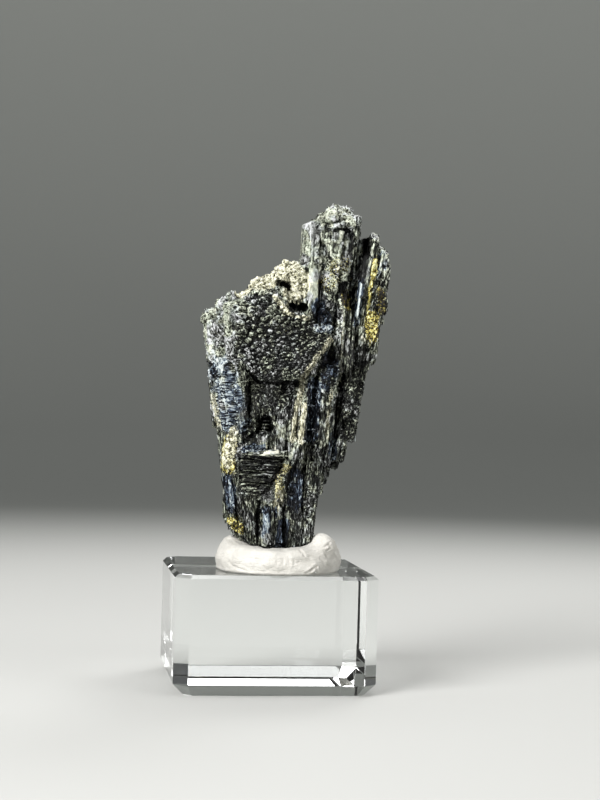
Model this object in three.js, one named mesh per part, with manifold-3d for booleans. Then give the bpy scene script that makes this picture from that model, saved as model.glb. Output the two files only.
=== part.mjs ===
// A stibnite specimen: a fan of bladed crystals grown together, held by a lump of white putty on a
// clear acrylic display block. Millimetres, +Z up. The origin is the centre of the block's underside.
import * as THREE from 'three';
import { mergeVertices } from 'three/addons/utils/BufferGeometryUtils.js';
import Module from 'manifold-3d';

// ---------------------------------------------------------------- driving dimensions
const BLOCK_SIDE = 32;            // square display block, one and a quarter inches
const BLOCK_HEIGHT = 18.8;
const CORNER_CHAMFER = 2.2;       // flat ground down each upright edge
const TOP_BEVEL = 0.6;
const BOTTOM_BEVEL = 1.7;

const PUTTY_WIDE = 20;            // the pressed lump, left to right
const PUTTY_DEEP = 18.2;
const PUTTY_RIM = 4.0;            // its height above the block at the front
const PUTTY_LOBE = 1.5;           // how much higher it is squeezed up at the left and the right
const PUTTY_OFFSET = [-1.5, -0.5];  // its middle, from the middle of the specimen's foot
const SEAT_GAP = 0.3;             // clearance between the foot and its pocket
const FOOT_SUNK = 1.2;            // how far the foot reaches into the putty

const FOOT_PLACE = [2.3, -6.4, 22];  // the foot on the block: right, back, up
const CLUSTER_TURN = -8.4;        // degrees about the upright axis
const FOOT_OUTLINE = [            // right, back: the part of the specimen that the putty holds
  [-4.6, -2.6], [-2.8, -4.3], [1.2, -4.5], [3.5, -3.4],
  [3.9, 1.2], [2.4, 4.0], [-1.6, 4.4], [-4.4, 2.6],
];

const GROOVE_DEPTH = 0.11;        // how deep the lengthwise grooves are, as a share of the radius

// ---------------------------------------------------------------- crystals of the fan
// Each row is one crystal: foot and tip are [right, back, up] from the middle of the foot; wide and
// deep are its full size at the foot and at the tip; slant tips its broken end, in mm per mm.
const CRYSTALS = [
  // left edge, from the outside in
  { foot: [-7.6, 0.6, 2.2], tip: [-12.4, 0.4, 37.2], wide: [2.8, 3.6], deep: [6.4, 8.6], slant: [0.5, 0.1] },
  { foot: [-11.0, -1.0, 19.5], tip: [-12.7, -1.2, 35.6], wide: [2.2, 2.7], deep: [4.0, 5.2], slant: [0.6, 0.2] },
  { foot: [-8.9, -2.2, 4.6], tip: [-10.6, -3.0, 31.0], wide: [2.0, 2.8], deep: [3.2, 3.8], slant: [0.4, 0.3] },
  { foot: [-5.9, -0.4, 0.6], tip: [-9.6, -0.6, 40.2], wide: [4.2, 4.8], deep: [8.0, 11.0], slant: [0.3, 0.2] },
  { foot: [-3.6, -0.4, -1.2], tip: [-6.4, -0.2, 41.8], wide: [4.0, 4.6], deep: [8.2, 11.6], slant: [0.4, 0.1] },
  // middle
  { foot: [-1.8, 0.2, -1.2], tip: [-2.8, 0.4, 43.6], wide: [4.2, 4.8], deep: [8.6, 11.4], slant: [0.4, 0.1] },
  { foot: [0.2, 0.0, -1.2], tip: [0.4, 0.6, 44.8], wide: [4.0, 4.2], deep: [8.6, 10.4], slant: [0.3, -0.1] },
  // tall pair that carries the top
  { foot: [0.8, 0.2, -1.2], tip: [2.5, -0.2, 52.8], wide: [3.2, 3.0], deep: [7.6, 7.6], slant: [0.5, 0.1] },
  { foot: [1.6, 0.2, -1.2], tip: [6.0, 0.2, 52.8], wide: [3.4, 5.0], deep: [7.4, 9.0], slant: [0.1, 0.2] },
  { foot: [2.7, 0.6, 1.4], tip: [8.8, 0.8, 53.6], wide: [2.6, 3.8], deep: [5.8, 7.6], slant: [-0.7, 0.1] },
  // right blades, with a groove between them and the tall pair
  { foot: [4.8, 1.4, 11.0], tip: [11.4, 2.6, 49.8], wide: [2.8, 3.2], deep: [4.0, 4.4], slant: [0.2, -0.4] },
  { foot: [6.9, 0.6, 13.4], tip: [12.9, 0.4, 50.6], wide: [1.9, 1.7], deep: [4.2, 6.6], slant: [-0.5, 0.3] },
  { foot: [9.2, 0.2, 18.0], tip: [14.2, 0.2, 48.6], wide: [2.5, 2.1], deep: [4.4, 5.8], slant: [-0.9, 0.2] },
  { foot: [7.6, -1.2, 14.6], tip: [11.2, -1.4, 36.4], wide: [2.0, 2.2], deep: [3.0, 3.4], slant: [-0.4, 0.6] },
  { foot: [12.4, -0.2, 30.4], tip: [14.3, -0.3, 46.6], wide: [1.6, 2.6], deep: [3.8, 4.8], slant: [-0.6, 0.3] },
  // faces that stand proud in front
  { foot: [2.2, -3.4, 30.0], tip: [3.0, -3.4, 46.4], wide: [1.7, 1.9], deep: [2.8, 2.8], slant: [0.2, 0.5] },
  { foot: [5.4, -2.6, 14.0], tip: [8.0, -2.6, 41.0], wide: [2.2, 1.4], deep: [3.2, 2.6], slant: [0.3, 0.8] },
  { foot: [2.9, -2.6, 1.2], tip: [5.6, -3.2, 30.5], wide: [2.4, 3.4], deep: [3.8, 3.6], slant: [0.3, 0.8] },
  { foot: [1.0, -3.4, 11.0], tip: [3.3, -4.0, 30.4], wide: [1.8, 1.5], deep: [3.2, 3.4], slant: [0.2, 0.9] },
  { foot: [-3.2, -3.5, 7.6], tip: [2.2, -3.9, 19.2], wide: [2.2, 1.6], deep: [3.0, 3.0], slant: [-0.4, 0.8] },
  { foot: [0.6, -2.6, -1.0], tip: [1.6, -3.4, 13.0], wide: [3.0, 2.4], deep: [3.4, 3.2], slant: [0.5, 0.7] },
  { foot: [-2.8, -2.4, -1.0], tip: [-3.4, -3.2, 9.2], wide: [3.0, 3.4], deep: [3.4, 3.0], slant: [0.2, 0.4] },
  { foot: [-6.2, -2.2, 1.6], tip: [-8.3, -3.6, 16.6], wide: [2.2, 2.4], deep: [3.2, 3.0], slant: [0.5, 0.6] },
  // the back of the fan, with two broken steps
  { foot: [-5.0, 3.0, 2.0], tip: [-9.4, 5.2, 33.0], wide: [3.4, 4.4], deep: [3.4, 4.2], slant: [0.4, -0.6] },
  { foot: [-2.4, 3.2, 0.6], tip: [-4.6, 6.0, 38.2], wide: [3.2, 4.2], deep: [3.0, 4.6], slant: [0.2, -0.5] },
  { foot: [0.2, 3.2, 0.2], tip: [0.6, 5.8, 46.2], wide: [3.2, 4.0], deep: [3.0, 4.4], slant: [-0.3, -0.5] },
  { foot: [1.8, 2.8, 0.8], tip: [5.6, 5.0, 49.4], wide: [3.0, 3.8], deep: [3.2, 3.8], slant: [0.4, -0.6] },
  { foot: [4.2, 2.8, 9.0], tip: [8.6, 4.8, 41.0], wide: [2.6, 3.4], deep: [3.0, 3.6], slant: [-0.4, -0.6] },
  { foot: [7.6, 2.6, 15.6], tip: [11.4, 4.6, 44.6], wide: [2.2, 2.6], deep: [2.8, 3.2], slant: [-0.5, -0.5] },
  { foot: [-1.2, 4.4, 4.4], tip: [-2.6, 7.4, 24.8], wide: [2.6, 3.8], deep: [2.4, 2.8], slant: [0.3, -0.3] },
  { foot: [2.0, 4.0, 10.6], tip: [4.0, 6.8, 31.6], wide: [2.4, 3.2], deep: [2.4, 2.6], slant: [-0.4, -0.3] },
];

// Thin splinters laid along the fan, so that no side of it is smooth.
const SPLINTERS = [
  { count: 7, back: -1, low: 0.5, high: 4, length: [5, 8] },
  { count: 11, back: 1, low: 2, high: 32, length: [9, 19] },
];

// Chips broken out of the crystals: middle, and full size, each [right, back, up].
const CHIPS = [
  { at: [-12.9, -3.6, 29.6], size: [2.6, 2.2, 2.0] }, { at: [-11.0, -4.4, 22.4], size: [1.8, 1.6, 3.0] },
  { at: [-9.6, -4.2, 12.6], size: [2.2, 2.0, 2.4] }, { at: [-8.9, -2.6, 6.0], size: [2.0, 2.4, 1.6] },
  { at: [7.6, -4.6, 49.6], size: [3.0, 1.8, 1.2] }, { at: [4.8, -4.9, 44.0], size: [2.4, 1.6, 2.6] },
  { at: [9.2, -3.4, 40.4], size: [1.8, 2.2, 3.4] }, { at: [6.2, -4.8, 25.6], size: [1.6, 1.4, 4.6] },
  { at: [10.8, -2.9, 28.0], size: [1.8, 1.6, 3.8] }, { at: [8.7, -2.4, 20.4], size: [1.6, 2.0, 2.8] },
  { at: [3.9, -4.2, 15.6], size: [2.2, 1.6, 3.6] }, { at: [4.6, -3.0, 8.4], size: [1.8, 2.2, 2.2] },
  { at: [-0.4, -4.4, 3.6], size: [1.2, 1.6, 4.0] }, { at: [-11.2, 4.8, 30.0], size: [3.4, 3.4, 2.4] },
  { at: [-6.0, 6.4, 18.0], size: [3.4, 2.8, 5.0] }, { at: [8.0, 6.0, 34.0], size: [3.0, 3.2, 3.6] },
];

// The plate: a shield-shaped face that stands proud of the left half, thick at its lower edge.
const PLATE_OUTLINE = [            // right, up
  [-8.8, 38.6], [-7.6, 40.2], [-4.2, 41.3], [-0.6, 39.6], [5.9, 34.0],
  [4.2, 31.4], [1.9, 28.4], [-1.2, 27.3], [-4.6, 27.2], [-7.0, 29.2], [-8.8, 31.8],
];
const PLATE_FRONT = -7.2;
const PLATE_THICK = 2.6;
const PLATE_LEAN = 5;              // degrees: the lower edge is the proudest
const GRAIN_ROWS = 8;
const GRAINS_IN_ROW = 6;

// The recess under the plate, and the pit at the bottom of it.
const RECESS = { left: -6.9, right: 1.0, low: 16.4, high: 28, back: -2.6 };
const RECESS_CRYSTALS = [
  { foot: [-1.4, -2.2, 16.2], tip: [0.2, -2.9, 27.6], wide: [3.0, 2.0], deep: [2.6, 1.8], slant: [0.2, 0.4] },
  { foot: [-5.9, -1.8, 16.2], tip: [-5.7, -2.2, 25.0], wide: [1.6, 1.8], deep: [2.4, 1.6], slant: [0.4, 0.6] },
  { foot: [-3.2, -2.0, 22.4], tip: [-2.6, -3.6, 28.0], wide: [2.4, 3.2], deep: [1.6, 2.2], slant: [0.3, 0.4] },
];
const PIT = { middle: [-4.3, 20.2], wide: 2.8, tall: 3.0, back: 0.6 };

// The ledge below the recess: thin sheets stacked like stairs, shorter towards the bottom.
const LEDGE = { left: -7.5, topRight: 0.2, bottomRight: -3.2, top: 16.0, bottom: 9.4, front: -6.1 };
const LEDGE_SHEETS = 7;

// Pale druse of coarse grains on the sloping shoulder, and the rough top of the tall pair.
const DRUSE = [
  { from: [-7.4, -2.6, 41.2], to: [1.2, -3.0, 44.6], count: 12, size: [1.0, 1.7] },
  { from: [-4.8, -1.0, 43.2], to: [-0.8, -1.2, 45.8], count: 7, size: [1.1, 1.8] },
  { from: [-6.2, 2.0, 41.6], to: [0.8, 2.6, 45.2], count: 9, size: [1.2, 1.9] },
  { from: [4.2, -3.0, 52.6], to: [9.2, -2.4, 52.8], count: 8, size: [1.5, 2.1] },
  { from: [5.4, -1.2, 53.9], to: [8.2, 1.0, 53.9], count: 6, size: [1.5, 2.0] },
  { from: [6.2, -1.0, 52.8], to: [7.2, 1.0, 53.0], count: 2, size: [2.8, 3.0] },
  { from: [3.8, 2.6, 52.6], to: [8.8, 2.8, 52.6], count: 5, size: [1.6, 2.3] },
  { from: [-13.2, -2.6, 37.0], to: [-8.8, -1.4, 40.2], count: 9, size: [1.3, 2.0] },
  { from: [-12.6, 2.4, 36.8], to: [-7.6, 3.6, 40.4], count: 6, size: [1.4, 2.1] },
  { from: [13.6, -1.4, 37.0], to: [14.0, 1.0, 43.0], count: 4, size: [0.9, 1.3] },
];
const DRUSE_HOLES = [              // middle, and full size: right, back, up
  { at: [-1.0, -4.4, 42.3], size: [1.7, 4.4, 1.7] },
  { at: [0.2, -5.2, 39.6], size: [2.6, 3.6, 1.7] },
];

// ---------------------------------------------------------------- small tools
const wasm = await Module();
wasm.setup();

// A repeatable stream of numbers from 0 to 1.
function seededRandom(seed) {
  let state = seed;
  return () => {
    state = (state * 1664525 + 1013904223) % 4294967296;
    return state / 4294967296;
  };
}

const mix = (a, b, t) => a + (b - a) * t;

// A closed three.js geometry as a solid that can be joined and cut.
function solidOf(geometry) {
  const bare = geometry.clone();
  bare.deleteAttribute('normal');
  bare.deleteAttribute('uv');
  const merged = mergeVertices(bare, 1e-4);
  return new wasm.Manifold(new wasm.Mesh({
    numProp: 3,
    vertProperties: new Float32Array(merged.attributes.position.array),
    triVerts: new Uint32Array(merged.index.array),
  }));
}

// The triangles of a solid, as a three.js geometry.
function geometryOf(solid) {
  const mesh = solid.getMesh();
  const geometry = new THREE.BufferGeometry();
  geometry.setAttribute('position', new THREE.BufferAttribute(mesh.vertProperties, 3));
  geometry.setIndex(new THREE.BufferAttribute(mesh.triVerts, 1));
  geometry.computeVertexNormals();
  return geometry;
}

// Moves every corner of a geometry by a rule of its place.
function reshape(geometry, rule) {
  const place = geometry.attributes.position;
  const corner = new THREE.Vector3();
  for (let i = 0; i < place.count; i += 1) {
    rule(corner.fromBufferAttribute(place, i));
    place.setXYZ(i, corner.x, corner.y, corner.z);
  }
  return geometry;
}

// A flat outline, given as [right, up], raised to a slab that runs from front to back.
function slabOf(outline, front, back) {
  const shape = new THREE.Shape(outline.map(([x, z]) => new THREE.Vector2(x, z)));
  const slab = new THREE.ExtrudeGeometry(shape, { depth: back - front, bevelEnabled: false });
  return slab.rotateX(Math.PI / 2).translate(0, back, 0);
}

// ---------------------------------------------------------------- crystals
// One crystal: a prism with lengthwise grooves and a slanting broken end.
function crystalOf({ foot, tip, wide, deep, slant, sides = 10 }, random) {
  const prism = new THREE.CylinderGeometry(1, 1, 1, sides, 1);
  prism.rotateX(Math.PI / 2);
  const radii = Array.from({ length: sides }, (_, i) => {
    const groove = i % 2 ? GROOVE_DEPTH * (0.5 + random()) : 0;
    return 1 - groove - 0.06 * random();
  });
  reshape(prism, (corner) => {
    const along = corner.z + 0.5;
    const reach = Math.hypot(corner.x, corner.y);
    const turn = Math.atan2(corner.y, corner.x);
    const side = Math.round((turn / (2 * Math.PI) + 1) * sides) % sides;
    const share = reach < 0.5 ? 0 : radii[side];
    // a flattened section: straighter fronts than a round one has
    const square = 1 / Math.pow(Math.abs(Math.cos(turn)) ** 4 + Math.abs(Math.sin(turn)) ** 4, 0.25);
    const right = Math.cos(turn) * square * share * mix(wide[0], wide[1], along) / 2;
    const back = Math.sin(turn) * square * share * mix(deep[0], deep[1], along) / 2;
    const rise = along > 0.5 ? right * slant[0] + back * slant[1] : 0;
    corner.set(
      mix(foot[0], tip[0], along) + right,
      mix(foot[1], tip[1], along) + back,
      mix(foot[2], tip[2], along) + rise,
    );
  });
  return solidOf(prism);
}

// The left and the right edge of the fan at a height, for what is scattered over it.
const fanLeft = (up) => mix(-6.5, -12.4, Math.min(up / 34, 1));
const fanRight = (up) => mix(4.0, 7.6, Math.min(up / 40, 1));
const fanFront = (up) => mix(-4.2, -5.0, Math.min(up / 34, 1));
const fanBack = (up) => mix(4.6, 7.2, Math.min(up / 34, 1));

function splintersOf({ count, back, low, high, length }, random) {
  const solids = [];
  for (let i = 0; i < count; i += 1) {
    const across = (i + 0.5 + 0.4 * (random() - 0.5)) / count;
    const up = mix(low, high, random());
    const long = mix(length[0], length[1], random());
    const face = back > 0 ? fanBack : fanFront;
    const curve = 1 - 0.45 * Math.pow(2 * across - 1, 2);
    const thick = mix(1.0, 1.9, random());
    solids.push(crystalOf({
      foot: [mix(fanLeft(up), fanRight(up), across), face(up) * curve, up],
      tip: [mix(fanLeft(up + long), fanRight(up + long), across), face(up + long) * curve, up + long],
      wide: [thick, thick * 0.8],
      deep: [thick * 1.3, thick],
      slant: [random() - 0.5, back * -0.6],
      sides: 8,
    }, random));
  }
  return solids;
}

// A rough grain: a twenty-sided lump with every corner moved a little.
function grainOf([x, y, z], [wide, deep, tall], random) {
  const lump = mergeVertices(new THREE.IcosahedronGeometry(0.5, 0).deleteAttribute('normal')
    .deleteAttribute('uv'), 1e-4);
  const turn = random() * Math.PI;
  reshape(lump, (corner) => {
    corner.multiplyScalar(0.85 + 0.3 * random());
    corner.applyAxisAngle(new THREE.Vector3(0.3, 0.5, 0.8).normalize(), turn);
    corner.set(x + corner.x * wide, y + corner.y * deep, z + corner.z * tall);
  });
  return solidOf(lump);
}

function druseOf({ from, to, count, size }, random) {
  const solids = [];
  for (let i = 0; i < count; i += 1) {
    const along = (i + 0.5) / count;
    const stray = () => (random() - 0.5) * 1.4;
    const at = [0, 1, 2].map((axis) => mix(from[axis], to[axis], along) + stray());
    const across = mix(size[0], size[1], random()) * 1.5;
    solids.push(grainOf(at, [across, across * 1.1, across * 0.9], random));
  }
  return solids;
}

// ---------------------------------------------------------------- plate, recess and ledge
function insideOutline(outline, x, z) {
  let inside = false;
  for (let i = 0, j = outline.length - 1; i < outline.length; j = i, i += 1) {
    const [x1, z1] = outline[i];
    const [x2, z2] = outline[j];
    if ((z1 > z) !== (z2 > z) && x < ((x2 - x1) * (z - z1)) / (z2 - z1) + x1) inside = !inside;
  }
  return inside;
}

function plateSolids(random) {
  const slope = Math.tan(THREE.MathUtils.degToRad(PLATE_LEAN));
  const lowEdge = Math.min(...PLATE_OUTLINE.map(([, z]) => z));
  const highEdge = Math.max(...PLATE_OUTLINE.map(([, z]) => z));
  const frontAt = (z) => PLATE_FRONT + (z - lowEdge) * slope;
  const slab = slabOf(PLATE_OUTLINE, 0, PLATE_THICK);
  reshape(slab, (corner) => { corner.y += frontAt(corner.z); });
  const solids = [solidOf(slab)];
  // rows of flattened grains over the face
  const left = Math.min(...PLATE_OUTLINE.map(([x]) => x));
  const right = Math.max(...PLATE_OUTLINE.map(([x]) => x));
  for (let row = 0; row < GRAIN_ROWS; row += 1) {
    for (let i = 0; i < GRAINS_IN_ROW; i += 1) {
      const z = mix(lowEdge, highEdge, (row + 0.6) / GRAIN_ROWS) + 0.8 * (random() - 0.5);
      const x = mix(left, right, (i + 0.5 + 0.5 * (row % 2)) / GRAINS_IN_ROW) + 1.0 * (random() - 0.5);
      const wide = mix(1.8, 3.2, random());
      const fits = insideOutline(PLATE_OUTLINE, x - 0.6, z) && insideOutline(PLATE_OUTLINE, x + 0.6, z);
      if (fits) solids.push(grainOf([x, frontAt(z) + 0.15, z], [wide, 1.5, wide * 0.6], random));
    }
  }
  return solids;
}

function ledgeSolids(random) {
  const solids = [];
  const sheet = (LEDGE.top - LEDGE.bottom) / LEDGE_SHEETS;
  for (let i = 0; i < LEDGE_SHEETS; i += 1) {
    const down = (i + 0.5) / LEDGE_SHEETS;
    const right = mix(LEDGE.topRight, LEDGE.bottomRight, down);
    const top = LEDGE.top - i * sheet;
    const front = LEDGE.front + 1.3 * down + (i % 2) * 0.6 + 0.2 * random();
    const outline = [
      [LEDGE.left + 0.3 * random(), top - sheet * 1.02], [right - 0.8, top - sheet * 1.02],
      [right, top - 0.1], [LEDGE.left, top],
    ];
    solids.push(solidOf(slabOf(outline, front, -1)));
  }
  return solids;
}

function recessSolids() {
  const { left, right, low, high, back } = RECESS;
  const front = -9;
  const mouth = slabOf([
    [left, high], [left + 0.3, low + 3.4], [left + 1.4, low + 1.2], [right - 2.4, low],
    [right - 1.2, low + 3.6], [right, high],
  ], front, back);
  const floorSlope = 0.22;         // the recess is deepest near its upper edge
  reshape(mouth, (corner) => {
    if (corner.y > front + 1) corner.y -= (high - corner.z) * floorSlope;
  });
  const pit = slabOf([
    [PIT.middle[0] - PIT.wide / 2, PIT.middle[1] + PIT.tall * 0.3],
    [PIT.middle[0] - PIT.wide * 0.3, PIT.middle[1] - PIT.tall / 2],
    [PIT.middle[0] + PIT.wide / 2, PIT.middle[1] - PIT.tall * 0.35],
    [PIT.middle[0] + PIT.wide * 0.4, PIT.middle[1] + PIT.tall / 2],
    [PIT.middle[0] - PIT.wide * 0.2, PIT.middle[1] + PIT.tall / 2],
  ], front, PIT.back);
  return [solidOf(mouth), solidOf(pit)];
}

// ---------------------------------------------------------------- putty
// The lump: a turned profile, swollen into two lobes and dented. Grow offsets it outwards.
function lumpOf(grow) {
  const rim = PUTTY_RIM + grow;
  const reach = 1 + (2 * grow) / PUTTY_WIDE;
  const profile = [
    [0, 0], [0.62, 0], [0.935, 0], [0.985, 0.18], [1.0, 0.45], [0.97, 0.72],
    [0.89, 0.92], [0.76, 1.0], [0.55, 0.96], [0.3, 0.9], [0, 0.88],
  ].map(([r, h]) => new THREE.Vector2(r * reach, h * rim));
  const lump = new THREE.LatheGeometry(profile, 28);
  lump.rotateX(Math.PI / 2);
  reshape(lump, (corner) => {
    const turn = Math.atan2(corner.y, corner.x);
    const out = Math.hypot(corner.x, corner.y);
    const dent = 1 + 0.018 * Math.sin(3 * turn + 0.6) + 0.012 * Math.sin(7 * turn);
    const lobe = Math.pow(Math.abs(Math.cos(turn + 0.1)), 3) * Math.min(out * 1.3, 1);
    const rise = (corner.z / rim) ** 2 * lobe * PUTTY_LOBE * (out < 0.95 ? 1 : 0.5);
    corner.set(
      PUTTY_OFFSET[0] + corner.x * dent * PUTTY_WIDE / 2,
      PUTTY_OFFSET[1] + corner.y * dent * PUTTY_DEEP / 2,
      BLOCK_HEIGHT + corner.z + rise,
    );
  });
  return solidOf(lump);
}

// The foot's outline as an upright prism, grown sideways, between two heights.
function footPrism(grow, low, high) {
  const shape = new THREE.Shape(FOOT_OUTLINE.map(([x, y]) => {
    const share = 1 + grow / Math.hypot(x, y);
    return new THREE.Vector2(x * share, y * share);
  }));
  const prism = new THREE.ExtrudeGeometry(shape, { depth: high - low, bevelEnabled: false });
  return solidOf(prism.translate(0, 0, low));
}

// ---------------------------------------------------------------- block
// Eight-sided rings stacked from the underside up give the four chamfers and both bevels.
function blockGeometry() {
  const levels = [
    [0, BOTTOM_BEVEL], [BOTTOM_BEVEL, 0], [BLOCK_HEIGHT - TOP_BEVEL, 0], [BLOCK_HEIGHT, TOP_BEVEL],
  ];
  const block = new THREE.CylinderGeometry(1, 1, 1, 8, levels.length - 1);
  block.rotateX(Math.PI / 2);
  return reshape(block, (corner) => {
    const level = Math.round((corner.z + 0.5) * (levels.length - 1));
    const [height, inset] = levels[level];
    const half = BLOCK_SIDE / 2 - inset;
    const short = BLOCK_SIDE / 2 - CORNER_CHAMFER - inset * Math.tan(Math.PI / 8);
    if (Math.hypot(corner.x, corner.y) < 0.5) {
      corner.set(0, 0, height);
      return;
    }
    const eighth = Math.round(Math.atan2(corner.y, corner.x) / (Math.PI / 4));
    const step = ((eighth % 8) + 8) % 8;
    const [x, y] = [
      [half, -short], [half, short], [short, half], [-short, half],
      [-half, short], [-half, -short], [-short, -half], [short, -half],
    ][step];
    corner.set(x, y, height);
  });
}

// ---------------------------------------------------------------- the three pieces
const random = seededRandom(20240611);
const grown = [
  ...CRYSTALS.map((crystal) => crystalOf(crystal, random)),
  ...SPLINTERS.flatMap((rule) => splintersOf(rule, random)),
];
let cluster = grown.reduce((all, solid) => all.add(solid));
for (const hollow of recessSolids()) cluster = cluster.subtract(hollow);
for (const { at, size } of CHIPS) cluster = cluster.subtract(grainOf(at, size, random));
const inRecess = RECESS_CRYSTALS.map((crystal) => crystalOf(crystal, random));
const inFront = [...inRecess, ...plateSolids(random), ...ledgeSolids(random)];
for (const solid of inFront) cluster = cluster.add(solid);
for (const rule of DRUSE) {
  for (const grain of druseOf(rule, random)) cluster = cluster.add(grain);
}
for (const { at, size } of DRUSE_HOLES) cluster = cluster.subtract(grainOf(at, size, random));

// The foot stays inside its own outline; everything else is kept clear of the putty.
const collarLow = BLOCK_HEIGHT - 1;
const collarHigh = BLOCK_HEIGHT + PUTTY_RIM + PUTTY_LOBE + 2;
const footColumn = footPrism(0, collarLow, collarHigh);
const keepOut = lumpOf(SEAT_GAP + 0.1).subtract(footColumn);
cluster = cluster.subtract(keepOut.translate([0, 0, -FOOT_PLACE[2]]));

const pocketFloor = FOOT_PLACE[2] - FOOT_SUNK - SEAT_GAP;
const putty = lumpOf(0).subtract(footPrism(SEAT_GAP, pocketFloor, collarHigh));

function pieceOf(name, geometry, color, roughness, metalness) {
  const mesh = new THREE.Mesh(geometry, new THREE.MeshStandardMaterial({ color, roughness, metalness }));
  mesh.name = name;
  return mesh;
}

const block = pieceOf('acrylic_block', blockGeometry(), 0xe8ecec, 0.05, 0);
const lump = pieceOf('mounting_putty', geometryOf(putty), 0xf1f0ee, 0.6, 0);
const crystals = pieceOf('stibnite_cluster', geometryOf(cluster), 0x4c5056, 0.4, 0.8);
crystals.position.z = FOOT_PLACE[2];

const turned = new THREE.Group();
turned.position.set(FOOT_PLACE[0], FOOT_PLACE[1], 0);
turned.rotation.z = THREE.MathUtils.degToRad(CLUSTER_TURN);
turned.add(lump, crystals);

const group = new THREE.Group();
group.add(block, turned);
export default group;
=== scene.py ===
import itertools
import math

import bmesh
import bpy
import numpy as np
from mathutils import Matrix, Vector
from mathutils.bvhtree import BVHTree


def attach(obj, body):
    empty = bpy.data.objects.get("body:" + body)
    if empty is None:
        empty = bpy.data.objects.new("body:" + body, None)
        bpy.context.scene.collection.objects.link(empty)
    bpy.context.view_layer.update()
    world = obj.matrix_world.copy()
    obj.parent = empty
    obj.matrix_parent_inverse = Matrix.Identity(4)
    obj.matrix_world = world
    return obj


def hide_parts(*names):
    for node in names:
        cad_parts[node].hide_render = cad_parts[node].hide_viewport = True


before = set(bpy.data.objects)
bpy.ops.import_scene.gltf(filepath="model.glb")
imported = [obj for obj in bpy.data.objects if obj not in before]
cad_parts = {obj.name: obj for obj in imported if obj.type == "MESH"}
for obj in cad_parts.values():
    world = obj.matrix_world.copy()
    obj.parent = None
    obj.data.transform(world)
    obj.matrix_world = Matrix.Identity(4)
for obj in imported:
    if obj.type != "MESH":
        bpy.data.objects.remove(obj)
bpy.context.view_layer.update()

# ---------------------------------------------------------------- camera
# A long lens held a little above the block, nearly level, and turned a few degrees to the left of
# the block's front. It is tilted a little, as when it is held by hand.
MM = 0.001
CAMERA_PLACE = (-37.924, -288.833, 46.934)
CAMERA_TURN, CAMERA_RISE, CAMERA_TILT = -8.405, 0.159, 1.568
LENS, SENSOR = 80.1, 36.0

turn, rise = math.radians(CAMERA_TURN), math.radians(CAMERA_RISE)
camera_back = Vector((math.sin(turn) * math.cos(rise), -math.cos(turn) * math.cos(rise), math.sin(rise)))
camera_side = Vector((math.cos(turn), math.sin(turn), 0))
camera_up = camera_back.cross(camera_side)
camera_data = bpy.data.cameras.new("camera")
camera_data.lens, camera_data.sensor_width = LENS, SENSOR
camera_data.clip_start, camera_data.clip_end = 0.01, 10
camera = bpy.data.objects.new("camera", camera_data)
bpy.context.scene.collection.objects.link(camera)
camera.matrix_world = (
    Matrix.Translation(Vector(CAMERA_PLACE) * MM)
    @ Matrix((camera_side, camera_up, camera_back)).transposed().to_4x4()
    @ Matrix.Rotation(math.radians(CAMERA_TILT), 4, "Z")
)
bpy.context.scene.camera = camera
bpy.context.scene.view_settings.view_transform = "Standard"

# ---------------------------------------------------------------- floor, backdrop and lights
# A round table of pale paper that sweeps up into a neutral grey wall on all sides, under one large
# soft light from the upper left, weak ones from the right and behind, and a ceiling of light.
FLOOR_PALE, WALL_FOOT_SHADE, WALL_GREY, ROOM_GREY = "#bdbdba", "#747673", "#9b9d99", "#8f9294"
FLOOR_DROP, FLOOR_REACH, SWEEP, WALL_TOP = 0.03, 430, 220, 1000
SWEEP_PARTS, ROUND_PARTS = 16, 96
LAMPS_AIM = (0, 0, 45)
MIX_A, MIX_B = 6, 7   # a Mix node's two colour sockets, which share their names with its others
SOFT_LIGHTS = (  # place, size and power: mm, mm, watts
    ("key", (-340, -330, 290), 300, 4.3),
    ("fill", (420, -330, 160), 360, 1.1),
    ("ceiling", (40, 40, 560), 420, 1.7),
    ("back", (190, 250, 300), 200, 0.55),
)


def linear(hexes):
    """An sRGB hex colour as the linear numbers that Blender takes."""
    parts = [int(hexes[i : i + 2], 16) / 255 for i in (1, 3, 5)]
    return [p / 12.92 if p <= 0.04045 else ((p + 0.055) / 1.055) ** 2.4 for p in parts] + [1.0]


def fill_sockets(node, inputs):
    """Links or sets a node's sockets, by name or in order. A node stands for its own output."""
    for name, value in inputs.items() if isinstance(inputs, dict) else enumerate(inputs):
        if isinstance(value, bpy.types.Node):
            value = next(output for output in value.outputs if output.enabled)
        if isinstance(value, bpy.types.NodeSocket):
            node.id_data.links.new(value, node.inputs[name])
        else:
            node.inputs[name].default_value = value


def add_node(kind, inputs=(), stops=(), **settings):
    """Adds a node to the tree in hand, with its options, a ramp's stops, and its sockets."""
    made = tree.nodes.new("ShaderNode" + kind)
    for name, value in settings.items():
        setattr(made, name, value)
    for _ in stops[2:]:
        made.color_ramp.elements.new(0.5)
    for element, (position, hexes) in zip(made.color_ramp.elements if stops else (), stops):
        element.position, element.color = position, linear(hexes)
    fill_sockets(made, inputs)
    return made


def start_material(name, sockets=()):
    """A new material with one Principled shader, and its node tree."""
    material = bpy.data.materials.new(name)
    material.use_nodes = True
    shader = material.node_tree.nodes["Principled BSDF"]
    fill_sockets(shader, sockets)
    return material, material.node_tree, shader


def place_mesh(name, mesh, material=None):
    made = bpy.data.objects.new(name, mesh)
    bpy.context.scene.collection.objects.link(made)
    if material:
        mesh.materials.clear()
        mesh.materials.append(material)
    return made


def mesh_of(name, shape):
    mesh = bpy.data.meshes.new(name)
    shape.to_mesh(mesh)
    shape.free()
    return mesh


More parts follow.
